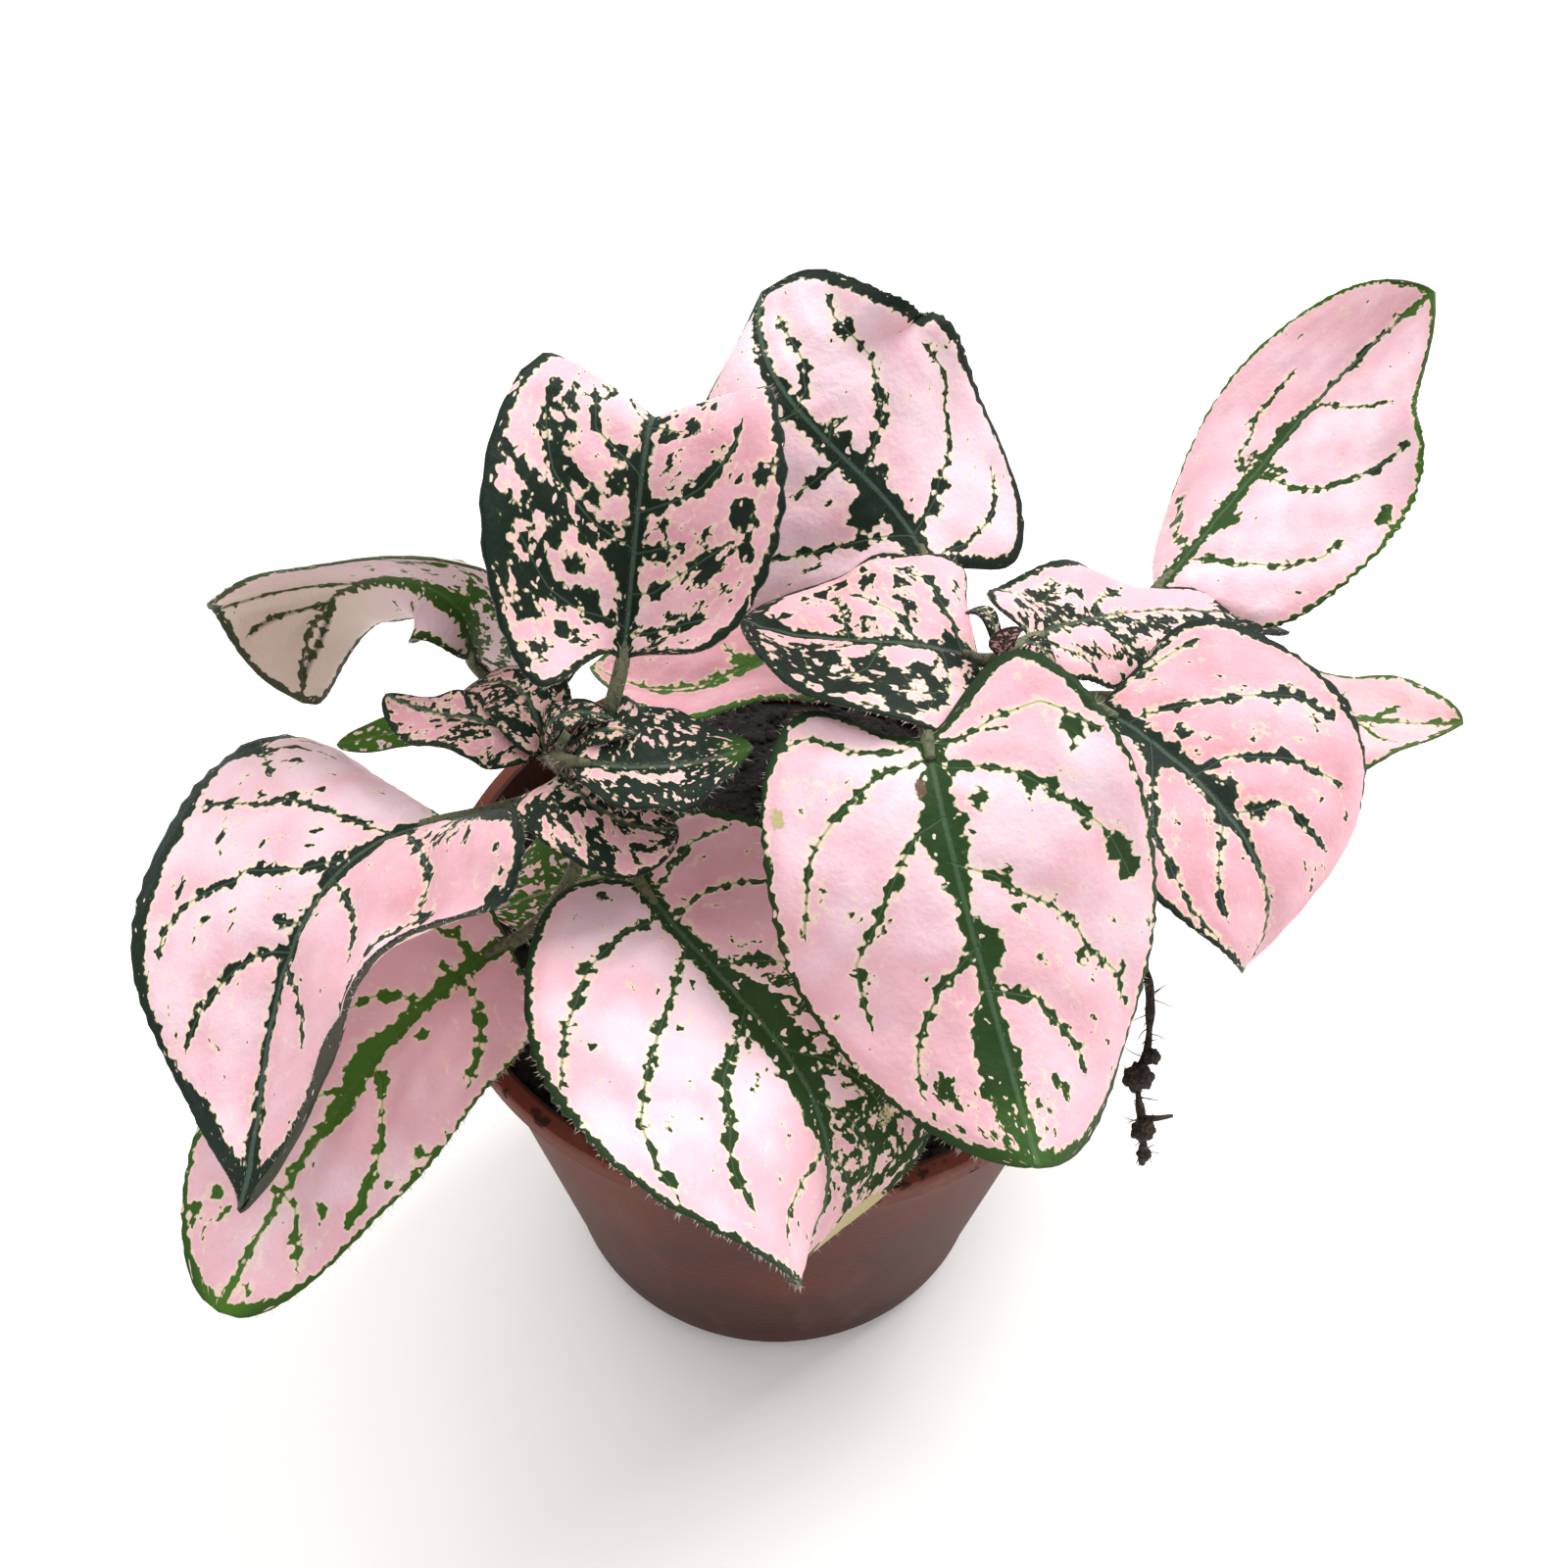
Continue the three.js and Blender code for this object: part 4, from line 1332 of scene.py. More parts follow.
FRONT_LEFT = Leaf(
    "front_left", 0.68,
    BladeShape(
        ((-38, -13.5, 98), (-51.5, -24, 95), (-55.5, -37.5, 85.5), (-54.5, -54.5, 83.5)), (34, 32),
        belly=(0.2, 0.2), point=(0.55, 1.45), lobe=(8.5, 0.5), lobe_at=0.24, roll=(-14, -14),
        fold=((19, 5), (-1, 9)), curl=((6, 70), (-25, 12)), wave=1.5, ripples=2.1, phase=40,
    ),
    Marks(
        veins=(
            Vein(((0.1, 0), (0.155, 0.19), (0.213, 0.47), (0.255, 0.56), (0.307, 0.83)), 0.5, 0.35),
            Vein(((0.195, 0), (0.283, 0.14), (0.323, 0.28), (0.35, 0.41), (0.37, 0.43), (0.44, 0.68),
                  (0.47, 0.74), (0.483, 0.79), (0.52, 0.81)), 0.8, 0.2),
            Vein(((0.44, 0), (0.455, 0.11), (0.483, 0.22), (0.65, 0.71)), 0.6, 0.3),
            Vein(((0.375, 0), (0.393, 0.11)), 0.7, 0.5), Vein(((0.195, 1), (0.21, 0.68)), 1, 0.15),
            Vein(((0.075, 0), (0.095, -0.3), (0.135, -0.5), (0.208, -0.57)), 0.7, 0.4),
            Vein(((0.255, 0), (0.27, -0.14), (0.288, -0.22), (0.312, -0.28), (0.393, -0.39)), 0.6, 0.2),
            Vein(((0.47, 0), (0.513, -0.12), (0.562, -0.19), (0.628, -0.25)), 0.5, 0.25),
            Vein(((0.23, -0.66), (0.3, -0.55), (0.353, -0.5), (0.45, -0.53), (0.75, -0.68),
                  (0.9, -0.8)), 0.5, 0.6),
        ),
        blots=((0.213, 0.47, 0.9), (0.283, 0.69, 0.6), (0.307, 0.83, 0.8), (0.418, 0.61, 0.7),
               (0.483, 0.79, 0.5), (0.445, 0.53, 0.5), (0.585, 0.52, 0.6), (0.62, 0.62, 0.6),
               (0.362, 0.89, 0.7), (0.2, -0.56, 0.6), (0.135, -0.49, 0.5), (0.08, -0.86, 0.4),
               (0.128, -0.92, 0.5), (0.182, -0.94, 0.8), (0.03, -0.33, 0.6)),
        rib_band=((0.1, 0.8, 0.8), (0.15, 1.6, 0.7), (0.2, 1.5, 0.9), (0.26, 0.9, 0.9), (0.32, 0.5, 0.4),
                  (0.44, 0.8, 0.7), (0.52, 0.6, 0.8), (0.62, 0.5, 0.6), (0.7, 0.4, 0.4), (0.8, 0.6, 0.4),
                  (0.9, 1.1, 1.1), (1, 2.2, 2.2)),
        margin=((0.1, 1, 0.8), (0.15, 1.2, 1.5), (0.2, 1.4, 3.2), (0.27, 2, 2.4), (0.33, 3, 2.9),
                (0.42, 3, 2.8), (0.5, 3, 1.9), (0.58, 3, 1.2), (0.68, 3, 0.9), (0.76, 3, 2.4),
                (0.85, 3, 1.4), (0.93, 3, 2), (1, 3, 3)),
        cover=(Patch(0.04, -0.35, 0.06, 0.3, 0.4), Patch(0.17, 0.9, 0.12, 0.25, 0.3),
               Patch(0.4, 0.5, 0.4, 0.6, 0.12)),
        # Painted shade: deeper, dimmer pink where this leaf lies in shade.
        painted_shade=(Patch(0.75, -0.3, 0.35, 0.5, 0.3), Patch(0.12, -0.6, 0.2, 0.6, 0.45)), tone=0.22,
    ),
)
BACK_LEFT = Leaf(
    "back_left", 0.7,
    BladeShape(
        ((-18.5, 0, 111), (-17.5, 9, 119.5), (-16, 17.5, 129.5), (-15, 24.5, 120.5)), (19, 19),
        belly=(0.42, 0.46), point=(0.8, 0.8), lobe=(8.5, 2.5), roll=(-12, -2), fold=((30, 16), (26, 18)),
        curl=((45, -10), (35, 2)), wave=0.6, phase=10,
    ),
    Marks(
        veins=(
            Vein(((0.12, 0), (0.19, -0.4), (0.27, -0.6), (0.38, -0.74)), 0.9, 0.7),
            Vein(((0.33, 0), (0.39, -0.27), (0.5, -0.55), (0.64, -0.72)), 0.9, 0.5),
            Vein(((0.51, 0), (0.55, -0.1), (0.62, -0.35), (0.71, -0.45)), 0.9, 0.6),
            Vein(((0.22, 0), (0.23, 0.18), (0.39, 0.65)), 0.7, 0.5),
            Vein(((0.32, 0), (0.36, 0.3)), 0.6, 0.2),
            Vein(((0.42, 0), (0.475, 0.3), (0.51, 0.42), (0.62, 0.63), (0.66, 0.68)), 0.7, 0.5),
            Vein(((0.68, 0), (0.66, 0.2)), 0.4, 0.2), Vein(((0.1, 0), (0.115, 0.3), (0.2, 0.7)), 0.4, 0.5),
        ),
        blots=((0.46, 0.72, 1.6), (0.55, 0.85, 1.2), (0.38, 0.8, 1), (0.11, 0.35, 0.7), (0.17, 0.55, 0.7),
               (0.37, -0.55, 1.1), (0.31, -0.42, 0.9), (0.17, -0.62, 0.8), (0.31, -0.12, 1.6),
               (0.5, -0.14, 1.2), (0.45, -0.3, 1.2), (0.21, -0.3, 1.2)),
        rib_band=((0, 1.5, 1), (0.2, 1.2, 1), (0.3, 2.5, 1), (0.4, 0.9, 1.3), (0.52, 2.4, 0.8),
                  (0.6, 0.6, 0.6), (0.7, 0.9, 0.9), (1, 0.8, 0.8)),
        margin=((0, 0.8, 0.7), (0.15, 0.9, 0.7), (0.28, 1.1, 0.9), (0.5, 1.2, 0.7), (0.65, 0.9, 0.7),
                (1, 0.9, 0.9)),
        cover=(Patch(0.42, -0.65, 0.36, 0.5, 0.48), Patch(0.3, 0.5, 0.34, 0.6, 0.38),
               Patch(0.75, 0, 0.2, 0.9, 0.38)),
        # Painted shade: deeper, dimmer pink where this leaf lies in shade.
        painted_shade=(Patch(0.45, 0.55, 0.4, 0.5, 0.3),), tone=0.4,
    ),
)
INNER = Leaf(
    "inner", 0.99,
    BladeShape(
        ((-23.5, -11.5, 106), (-17.5, -12, 106), (-11, -10, 104.5), (-3.5, -8.5, 106)), (9.5, 7),
        belly=(0.44, 0.46), point=(0.85, 0.85), lobe=(-0.5, -1), roll=(-3, 1), fold=((11, 9), (10, 8)),
        curl=((-3, -17), (-7, -16)), wave=0.6, ripples=2.8, phase=20,
    ),
    Marks(
        rib_band=((0, 0.6, 0.6), (1, 1.2, 1.2)), margin=((0, 0.5, 0.7), (0.7, 1.2, 1.4), (1, 2, 2)),
        cover=(Patch(0.5, -0.4, 0.45, 0.6, 0.8), Patch(0.45, 0.7, 0.5, 0.4, 0.78),
               Patch(0.78, 0.2, 0.16, 1, 0.95)),
        green=(Patch(1, 0, 0.14, 1, 0.6),), tone=0.62, grain=1.3,
    ),
)
YOUNG_FRONT = Leaf(
    "young_front", 0.97,
    BladeShape(
        ((-25, -8, 101), (-22.5, -13, 102), (-18, -14.5, 99.5), (-12, -12, 96)), (6.5, 8), lobe=(1, 1),
        wave=0.4,
    ),
    YOUNG, young=True,
)
YOUNG_LEFT = Leaf(
    "young_left", 0.99,
    BladeShape(
        ((-28, -6.5, 102), (-32.5, -6, 106), (-39, -4.5, 106), (-46.5, 0.5, 104)), (6, 3.5), wave=1,
        ripples=2,
    ),
    PINKER_YOUNG, young=True,
)
YOUNG_BACK = Leaf(
    "young_back", 0.99,
    BladeShape(
        ((-27, -7, 103), (-28.5, -4.5, 107), (-31.5, -0.5, 107), (-37.5, 1.5, 104)), (5, 5),
        point=(0.6, 0.6), wave=0.5,
    ),
    YOUNG, young=True,
)
BUD_OUTER = Leaf(
    "bud_outer", 1,
    BladeShape(
        ((-25.5, -8.5, 103), (-26.5, -7.5, 107), (-23.5, -7, 109), (-19, -7, 108)), (2.5, 2),
        belly=(0.5, 0.5), point=(0.6, 0.6), wave=0.2,
    ),
    BUD, young=True,
)
BUD_INNER = Leaf(
    "bud_inner", 1,
    BladeShape(
        ((-25, -9, 103), (-23, -8, 106), (-20, -8.5, 108), (-16.5, -8, 107)), (2.5, 2), belly=(0.5, 0.5),
        point=(0.6, 0.6), wave=0.2,
    ),
    BUD, young=True,
)
SHADED = Leaf(
    "shaded", 0.25,
    BladeShape(((-20, -0.5, 74), (-25.5, -2.5, 74.5), (-31, -4.5, 74), (-37, -7, 73)), (9, 9), lobe=(1, 1)),
    Marks(cover=(Patch(0.5, 0, 1, 2, 1.3),), green=(Patch(0.5, 0, 1, 2, 0.7),)),
    young=True,
)
FRONT_RIGHT = Leaf(
    "front_right", 0.62,
    BladeShape(
        ((15.5, -10, 109.5), (18.5, -24.5, 104), (23, -35.5, 93.5), (27, -49.5, 87.5)), (24, 20.5),
        belly=(0.5, 0.42), point=(0.68, 0.72), lobe=(14, 11.5), roll=(-6, 6), fold=((8, -12), (1, -12)),
        curl=((10, -38), (-20, -38)), ripples=2.6, phase=100,
    ),
    Marks(
        veins=(
            Vein(((0.02, -0.2), (0.09, -0.62), (0.16, -0.83), (0.25, -0.93)), 0.3),
            Vein(((0.06, 0), (0.13, -0.36), (0.2, -0.52), (0.39, -0.76), (0.49, -0.84)), 0.5, 0.3),
            Vein(((0.31, 0), (0.36, -0.17), (0.41, -0.25), (0.475, -0.4), (0.54, -0.5), (0.6, -0.55),
                  (0.67, -0.75), (0.71, -0.8)), 0.4, 0.25),
            Vein(((0.6, 0), (0.65, -0.23), (0.69, -0.28), (0.78, -0.5), (0.81, -0.55)), 0.45, 0.25),
            Vein(((0.04, 0.35), (0.09, 0.62), (0.1, 0.75), (0.12, 0.87), (0.16, 0.95)), 0.3),
            Vein(((0.05, 0.05), (0.1, 0.38), (0.29, 0.74), (0.43, 0.85))),
            Vein(((0.2, 0), (0.235, 0.18), (0.435, 0.51), (0.49, 0.63), (0.62, 0.7))),
            Vein(((0.5, 0), (0.575, 0.26), (0.69, 0.52), (0.775, 0.68))),
        ),
        blots=((0.22, -0.85, 1.1), (0.24, -0.8, 0.6), (0.22, -0.07, 1.3), (0.19, -0.24, 0.8),
               (0.26, -0.6, 0.9), (0.35, -0.68, 0.7), (0.43, -0.79, 1.4), (0.48, -0.84, 1.4),
               (0.6, -0.52, 1), (0.67, -0.75, 0.8), (0.78, -0.5, 0.6), (0.17, 0.5, 0.8), (0.35, 0.37, 0.5),
               (0.51, 0.64, 0.7)),
        rib_band=((0.1, 1.2, 1), (0.22, 1.5, 3), (0.35, 1.2, 1.5), (0.43, 0.2, 0.8), (0.5, 3.2, 1),
                  (0.6, 0.6, 0.6), (0.65, 0.6, 2.3), (0.75, 1, 3.2), (0.85, 0.8, 2.5),
                  (1, 0.8, 0.8)),
        margin=((0, 1.2, 1.5), (0.06, 1.3, 1.3), (0.12, 1.2, 1), (0.18, 0.9, 0.5), (0.3, 0.6, 0.4),
                (0.5, 0.6, 0.5), (0.8, 0.6, 0.6), (1, 1.6, 1.6)),
        cover=(Patch(0.86, 0.3, 0.12, 0.5, 0.5), Patch(0.88, -0.25, 0.07, 0.25, 0.4),
               Patch(0.5, 0, 0.6, 1.2, 0.06)),
        green=(Patch(1, 0, 0.2, 1.2, 0.5), Patch(0.5, 0, 0.8, 1.4, 0.25)),
        dead=(Patch(0.26, 0.91, 0.02, 0.05, 0.8),), rust=(Patch(0.13, 0.12, 0.035, 0.05, 0.8),),
        # Painted shade: deeper, dimmer pink where this leaf lies in shade.
        painted_shade=(Patch(0.85, 0.2, 0.4, 1.2, 0.35), Patch(0.5, 0.8, 0.6, 0.5, 0.1),
               Patch(0.1, -0.7, 0.1, 0.4, 0.3)),
        tone=0.17,
    ),
)
FAR_RIGHT = Leaf(
    "far_right", 0.5,
    BladeShape(
        ((39.5, 12.5, 93), (48.5, 2, 93.5), (57, -9, 88), (57.5, -13.5, 73.5)), (26, 19.5),
        belly=(0.42, 0.38), point=(0.5, 0.85), lobe=(4, 3), roll=(-8, 8), fold=((8, 2), (9, 9)),
        curl=((-2, -34), (-15, 5)), wave=0.6, phase=-30,
    ),
    Marks(
        veins=(
            Vein(((0.04, -0.5), (0.06, -0.6), (0.12, -0.78)), 0.3),
            Vein(((0.13, 0), (0.145, -0.12), (0.32, -0.64), (0.375, -0.78), (0.45, -0.84)), 0.5, 0.4),
            Vein(((0.37, 0), (0.38, -0.2), (0.485, -0.5), (0.53, -0.57), (0.59, -0.71)), 0.5, 0.3),
            Vein(((0.5, 0), (0.53, -0.12), (0.55, -0.28), (0.575, -0.33), (0.63, -0.37),
                  (0.71, -0.52)), 0.5, 0.3),
            Vein(((0.22, 0), (0.445, 0.56), (0.66, 0.84), (0.78, 0.9)), 0.5, 0.3),
            Vein(((0.46, 0), (0.525, 0.1), (0.55, 0.2), (0.645, 0.46), (0.735, 0.6)), 0.45, 0.3),
        ),
        blots=((0.26, -0.15, 0.8), (0.275, -0.48, 0.7), (0.345, -0.75, 0.7), (0.375, -0.78, 0.8),
               (0.45, -0.84, 0.7), (0.46, -0.45, 1), (0.53, -0.57, 0.6), (0.45, -0.08, 1.4),
               (0.535, -0.14, 1.2), (0.63, -0.37, 0.7), (0.445, 0.56, 0.7), (0.56, 0.72, 0.9),
               (0.5, 0.06, 1), (0.69, 0.54, 0.6)),
        rib_band=((0, 1.5, 1.5), (0.2, 1.5, 2.2), (0.26, 1.5, 3), (0.32, 1.4, 1.4), (0.4, 2, 0.8),
                  (0.5, 1.2, 1.2), (0.6, 0.6, 0.6), (0.72, 0.2, 0.2)),
        margin=((0, 0.6, 0.6), (0.1, 1.2, 1.2), (0.2, 1.8, 1.5), (0.32, 0.7, 0.7), (0.5, 1.5, 1),
                (0.6, 0.6, 0.6)),
        # Painted shade: this leaf's pink is made deeper and dimmer all over, and more in one patch.
        cover=(Patch(0.5, 0, 0.6, 1.2, 0.08),), painted_shade=(Patch(0.3, 0, 0.3, 0.9, 0.12),), tone=0.68,
    ),
)
BACK_MIDDLE = Leaf(
    "back_middle", 0.55,
    BladeShape(
        ((17.5, 25, 105), (9, 32, 113.5), (-1, 37, 122), (-4.5, 55.5, 125)), (24, 22.5), belly=(0.3, 0.4),
        point=(1.25, 0.4), lobe=(-0.5, 6), roll=(-2, 15), fold=((-12, -12), (0, 14)),
        curl=((-35, -35), (-34, 16)), wave=1.3, ripples=2.8, phase=10,
    ),
    Marks(
        veins=(
            Vein(((0.1, 0), (0.16, 0.3), (0.195, 0.4), (0.215, 0.52), (0.24, 0.58), (0.35, 0.8),
                  (0.45, 0.8)), 0.6, 0.15),
            Vein(((0.335, 0), (0.4, 0.32), (0.58, 0.55), (0.835, 0.58), (0.89, 0.68)), 0.5, 0.15),
            Vein(((0.61, 0), (0.64, 0.12), (0.68, 0.15), (0.71, 0.2), (0.79, 0.22), (0.9, 0.2)), 0.45, 0.15),
            Vein(((0.03, 0.2), (0.05, 0.45), (0.08, 0.6), (0.12, 0.75), (0.17, 0.82)), 0.4, 0.2),
            Vein(((0.42, -0.05), (0.44, -0.33)), 0.7, 0.6),
            Vein(((0.1, 0), (0.155, -0.17), (0.355, -0.65)), 0.6, 0.15),
            Vein(((0.6, 0), (0.62, -0.2), (0.7, -0.6)), 0.4, 0.2),
            Vein(((0.48, 0.02), (0.5, 0.08), (0.49, 0.14)), 0.3, 0.3),
        ),
        blots=((0.4, 0.32, 1), (0.46, 0.4, 0.9), (0.78, 0.57, 1.1), (0.18, 0.37, 1.2), (0.14, 0.25, 1),
               (0.71, 0.2, 0.7), (0.79, 0.22, 0.5), (0.87, 0.2, 0.6), (0.42, 0.8, 0.6), (0.25, -0.14, 2.1),
               (0.21, -0.05, 1.4), (0.45, 0.08, 1), (0.3, 0.1, 0.9)),
        rib_band=((0, 1.6, 1.3), (0.1, 2, 1.4), (0.2, 1.6, 1.3), (0.25, 2.4, 1.2), (0.3, 1.8, 1.6),
                  (0.35, 1.8, 2.2), (0.42, 1.6, 1.4), (0.5, 1.3, 0.9), (0.6, 1.6, 0.8), (0.68, 1.7, 0.5),
                  (0.8, 1, 0.3), (1, 0.3, 0.3)),
        margin=((0, 0.7, 1.6), (0.1, 0.7, 1.4), (0.2, 0.7, 0.7), (0.4, 0.7, 1.2), (0.7, 0.7, 1.5),
                (1, 1, 1.5)),
        cover=(Patch(0.5, 0, 0.6, 1.2, 0.04),), tone=0.14,
    ),
)
BACK_RIGHT = Leaf(
    "back_right", 0.45,
    BladeShape(
        ((53, 44, 87), (65, 57.5, 93), (78, 70, 102.5), (89.5, 71.5, 118.5)), (17, 25.5), belly=(0.46, 0.4),
        point=(0.7, 0.45), lobe=(-1, 3), roll=(22, 6), fold=((-8, 10), (3, 16)),
        curl=((-60, 18), (-41, 25)), wave=1, ripples=1.7,
    ),
    Marks(
        veins=(
            Vein(((0.13, 0), (0.17, -0.2), (0.19, -0.42), (0.25, -0.5), (0.27, -0.68),
                  (0.33, -0.7)), 0.6, 0.4),
            Vein(((0.39, -0.04), (0.45, -0.3), (0.51, -0.33), (0.54, -0.42), (0.67, -0.45)), 0.45, 0.2),
            Vein(((0.11, 0), (0.14, 0.38), (0.185, 0.66), (0.24, 0.78), (0.28, 0.78)), 0.4),
            Vein(((0.41, 0.03), (0.385, 0.32), (0.4, 0.46), (0.5, 0.7), (0.6, 0.84)), 0.6),
            Vein(((0.455, -0.1), (0.44, 0), (0.43, 0.17)), 0.4, 0.3),
            Vein(((0.64, 0.02), (0.65, 0.2), (0.68, 0.4), (0.74, 0.6)), 0.1, 0.05),
        ),
        blots=((0.26, -0.6, 1.3), (0.33, -0.75, 0.6), (0.54, -0.42, 0.6), (0.425, -0.2, 0.6),
               (0.185, 0.66, 0.5), (0.28, 0.78, 0.7), (0.4, 0.46, 0.6), (0.5, 0.7, 0.9), (0.6, 0.84, 0.7),
               (0.77, 0.03, 0.7), (0.375, 0.9, 0.9), (0.4, 0.9, 0.8), (0.25, 0.1, 1.4), (0.13, 0.18, 0.8),
               (0.52, -0.03, 1.2)),
        rib_band=((0, 1.2, 1.2), (0.1, 1.3, 1.2), (0.2, 0.9, 1), (0.25, 1.2, 2.6), (0.3, 1.2, 1.9),
                  (0.36, 0.9, 0.9), (0.42, 1, 1.4), (0.5, 0.8, 0.8), (0.53, 1.6, 0.7), (0.58, 1, 0.4),
                  (0.65, 0.25, 0.2), (0.72, 0.3, 0.1), (0.8, 0.4, 0.2), (0.9, 0.15, 0.1),
                  (1, 0.6, 0.6)),
        margin=((0, 0.35, 0.35), (0.3, 0.4, 0.4), (0.6, 0.4, 0.6), (0.9, 0.35, 0.35), (1, 0.8, 0.8)),
        green=(Patch(0.2, 0, 0.5, 0.9, 0.35), Patch(1, 0, 0.1, 1, 0.9), Patch(0.6, 1, 0.5, 0.12, 0.8),
               Patch(0.6, -1, 0.5, 0.12, 0.8)),
        # Painted shade: deeper, dimmer pink where this leaf lies in shade.
        painted_shade=(Patch(0.5, -0.5, 0.6, 0.7, 0.2),), tone=0.2,
    ),
)
MIDDLE = Leaf(
    "middle", 0.97,
    BladeShape(
        ((23, 9.5, 103.5), (13.5, 6.5, 108.5), (4, 7, 108.5), (-5.5, 10, 108.5)), (16, 18.5),
        belly=(0.38, 0.38), point=(0.65, 0.45), lobe=(4, 7), roll=(4, -14), fold=((8, 13), (6, 7)),
        curl=((-22, 6), (-17, -16)), wave=0.5, ripples=2.3, phase=10,
    ),
    Marks(
        veins=(
            Vein(((0.265, 0), (0.32, 0.22), (0.4, 0.33), (0.55, 0.47)), 0.3, 0.2),
            Vein(((0.07, 0), (0.09, 0.25), (0.14, 0.45), (0.21, 0.66), (0.31, 0.76)), 0.5, 0.6),
            Vein(((0.17, 0), (0.2, -0.3), (0.24, -0.5), (0.33, -0.6)), 0.6, 0.4),
            Vein(((0.55, 0), (0.6, 0.25), (0.67, 0.5)), 0.2),
            Vein(((0.42, 0), (0.48, -0.4), (0.56, -0.65)), 0.4, 0.5),
        ),
        blots=((0.75, 0.6, 0.8), (0.67, 0.68, 0.7), (0.85, 0.25, 0.5), (0.31, 0.76, 0.9), (0.47, -0.4, 0.8),
               (0.62, -0.6, 1.2), (0.7, -0.65, 1), (0.5, -0.75, 1.1), (0.43, -0.88, 1.1), (0.6, -0.3, 0.6),
               (0.75, -0.35, 0.5), (0.15, -0.15, 1.2), (0.35, 0.08, 0.8)),
        rib_band=((0, 1.2, 1), (0.15, 1.8, 0.9), (0.25, 0.7, 0.7), (0.3, 0.5, 0.6), (0.36, 0.5, 1.1),
                  (0.42, 1, 0.6), (0.5, 0.7, 0.4), (0.6, 0.3, 0.5), (0.7, 0.6, 0.8), (0.8, 0.6, 0.8),
                  (0.9, 1.8, 1.8), (1, 3, 3)),
        margin=((0, 0.5, 0.4), (0.3, 0.5, 0.7), (0.55, 0.9, 1.2), (0.75, 1.1, 0.9), (1, 2, 2)),
        cover=(Patch(0.55, -0.6, 0.36, 0.5, 0.7), Patch(0.12, -0.2, 0.14, 0.4, 0.66),
               Patch(0.5, 0.5, 0.5, 0.5, 0.36)),
        # Painted shade: deeper, dimmer pink where this leaf lies in shade.
        painted_shade=(Patch(0.4, 0.5, 0.4, 0.5, 0.2),), tone=0.5, grain=0.8,
    ),
)
SMALL_RIGHT = Leaf(
    "small_right", 0.98,
    BladeShape(
        ((30, 14, 103), (41, 26, 96.5), (55, 33.5, 91.5), (69.5, 34, 87.5)), (10, 9.5), belly=(0.38, 0.38),
        point=(0.85, 0.6), lobe=(7.5, 0.5), roll=(-9, 16), fold=((9, 5), (-3, 5)),
        curl=((4, -30), (-44, -24)), wave=1.6, ripples=2.6,
    ),
    Marks(
        veins=(
            Vein(((0, 0), (0.1, -0.08), (0.3, 0.03), (0.5, 0.26), (0.7, 0.25), (0.8, 0.3)), 0.9, 0.8),
            Vein(((0.12, -0.05), (0.22, -0.5), (0.3, -0.65)), 0.4, 0.4),
            Vein(((0.3, 0), (0.36, -0.25), (0.48, -0.45)), 0.4, 0.5),
            Vein(((0.3, 0.1), (0.33, 0.3), (0.38, 0.8)), 0.5, 0.4),
            Vein(((0.06, 0.2), (0.1, 0.4), (0.15, 0.55), (0.2, 0.8)), 0.3, 0.3),
            Vein(((0.68, 0.3), (0.72, 0.8)), 0.2, 0.2),
        ),
        blots=((0.33, -0.45, 0.8), (0.33, 0.2, 1.1), (0.43, 0.35, 0.8), (0.45, 0.85, 1.2), (0.3, -0.7, 0.6),
               (0.2, -0.6, 0.7), (0.8, -0.3, 1.6), (0.85, 0.2, 1.8)),
        rib_band=((0, 0.4, 0.4), (0.3, 0.3, 0.3), (0.4, 0, 0)),
        margin=((0, 0.6, 0.6), (0.3, 0.9, 0.6), (0.5, 1.2, 0.7), (0.75, 1, 0.8), (0.85, 2.5, 2), (1, 3, 3)),
        cover=(Patch(0.16, -0.4, 0.2, 0.5, 0.52), Patch(0.4, 0.5, 0.3, 0.5, 0.46),
               Patch(0.85, 0, 0.12, 1, 0.62)),
        tone=0.5, grain=1.1,
    ),
)
BUD_LEFT = Leaf(
    "bud_left", 1,
    BladeShape(
        ((25.5, 8.5, 106), (24, 8, 110), (23, 9.5, 111), (21, 11.5, 109)), (1.2, 1.2), belly=(0.4, 0.4),
        point=(0.6, 0.6), wave=0,
    ),
    BUD, young=True,
)
BUD_RIGHT = Leaf(
    "bud_right", 1,
    BladeShape(
        ((27.5, 8, 106), (28, 6.5, 109), (29.5, 5.5, 109), (31.5, 5.5, 106)), (1.5, 1.5), belly=(0.5, 0.5),
        point=(0.6, 0.6), wave=0,
    ),
    BUD, young=True,
)
BUD_FRONT = Leaf(
    "bud_front", 1,
    BladeShape(
        ((26.5, 9, 105), (25, 6.5, 109), (25.5, 5, 112), (27, 4.5, 113)), (1.6, 1.6), belly=(0.4, 0.4),
        point=(0.6, 0.6), wave=0,
    ),
    BUD, young=True,
)
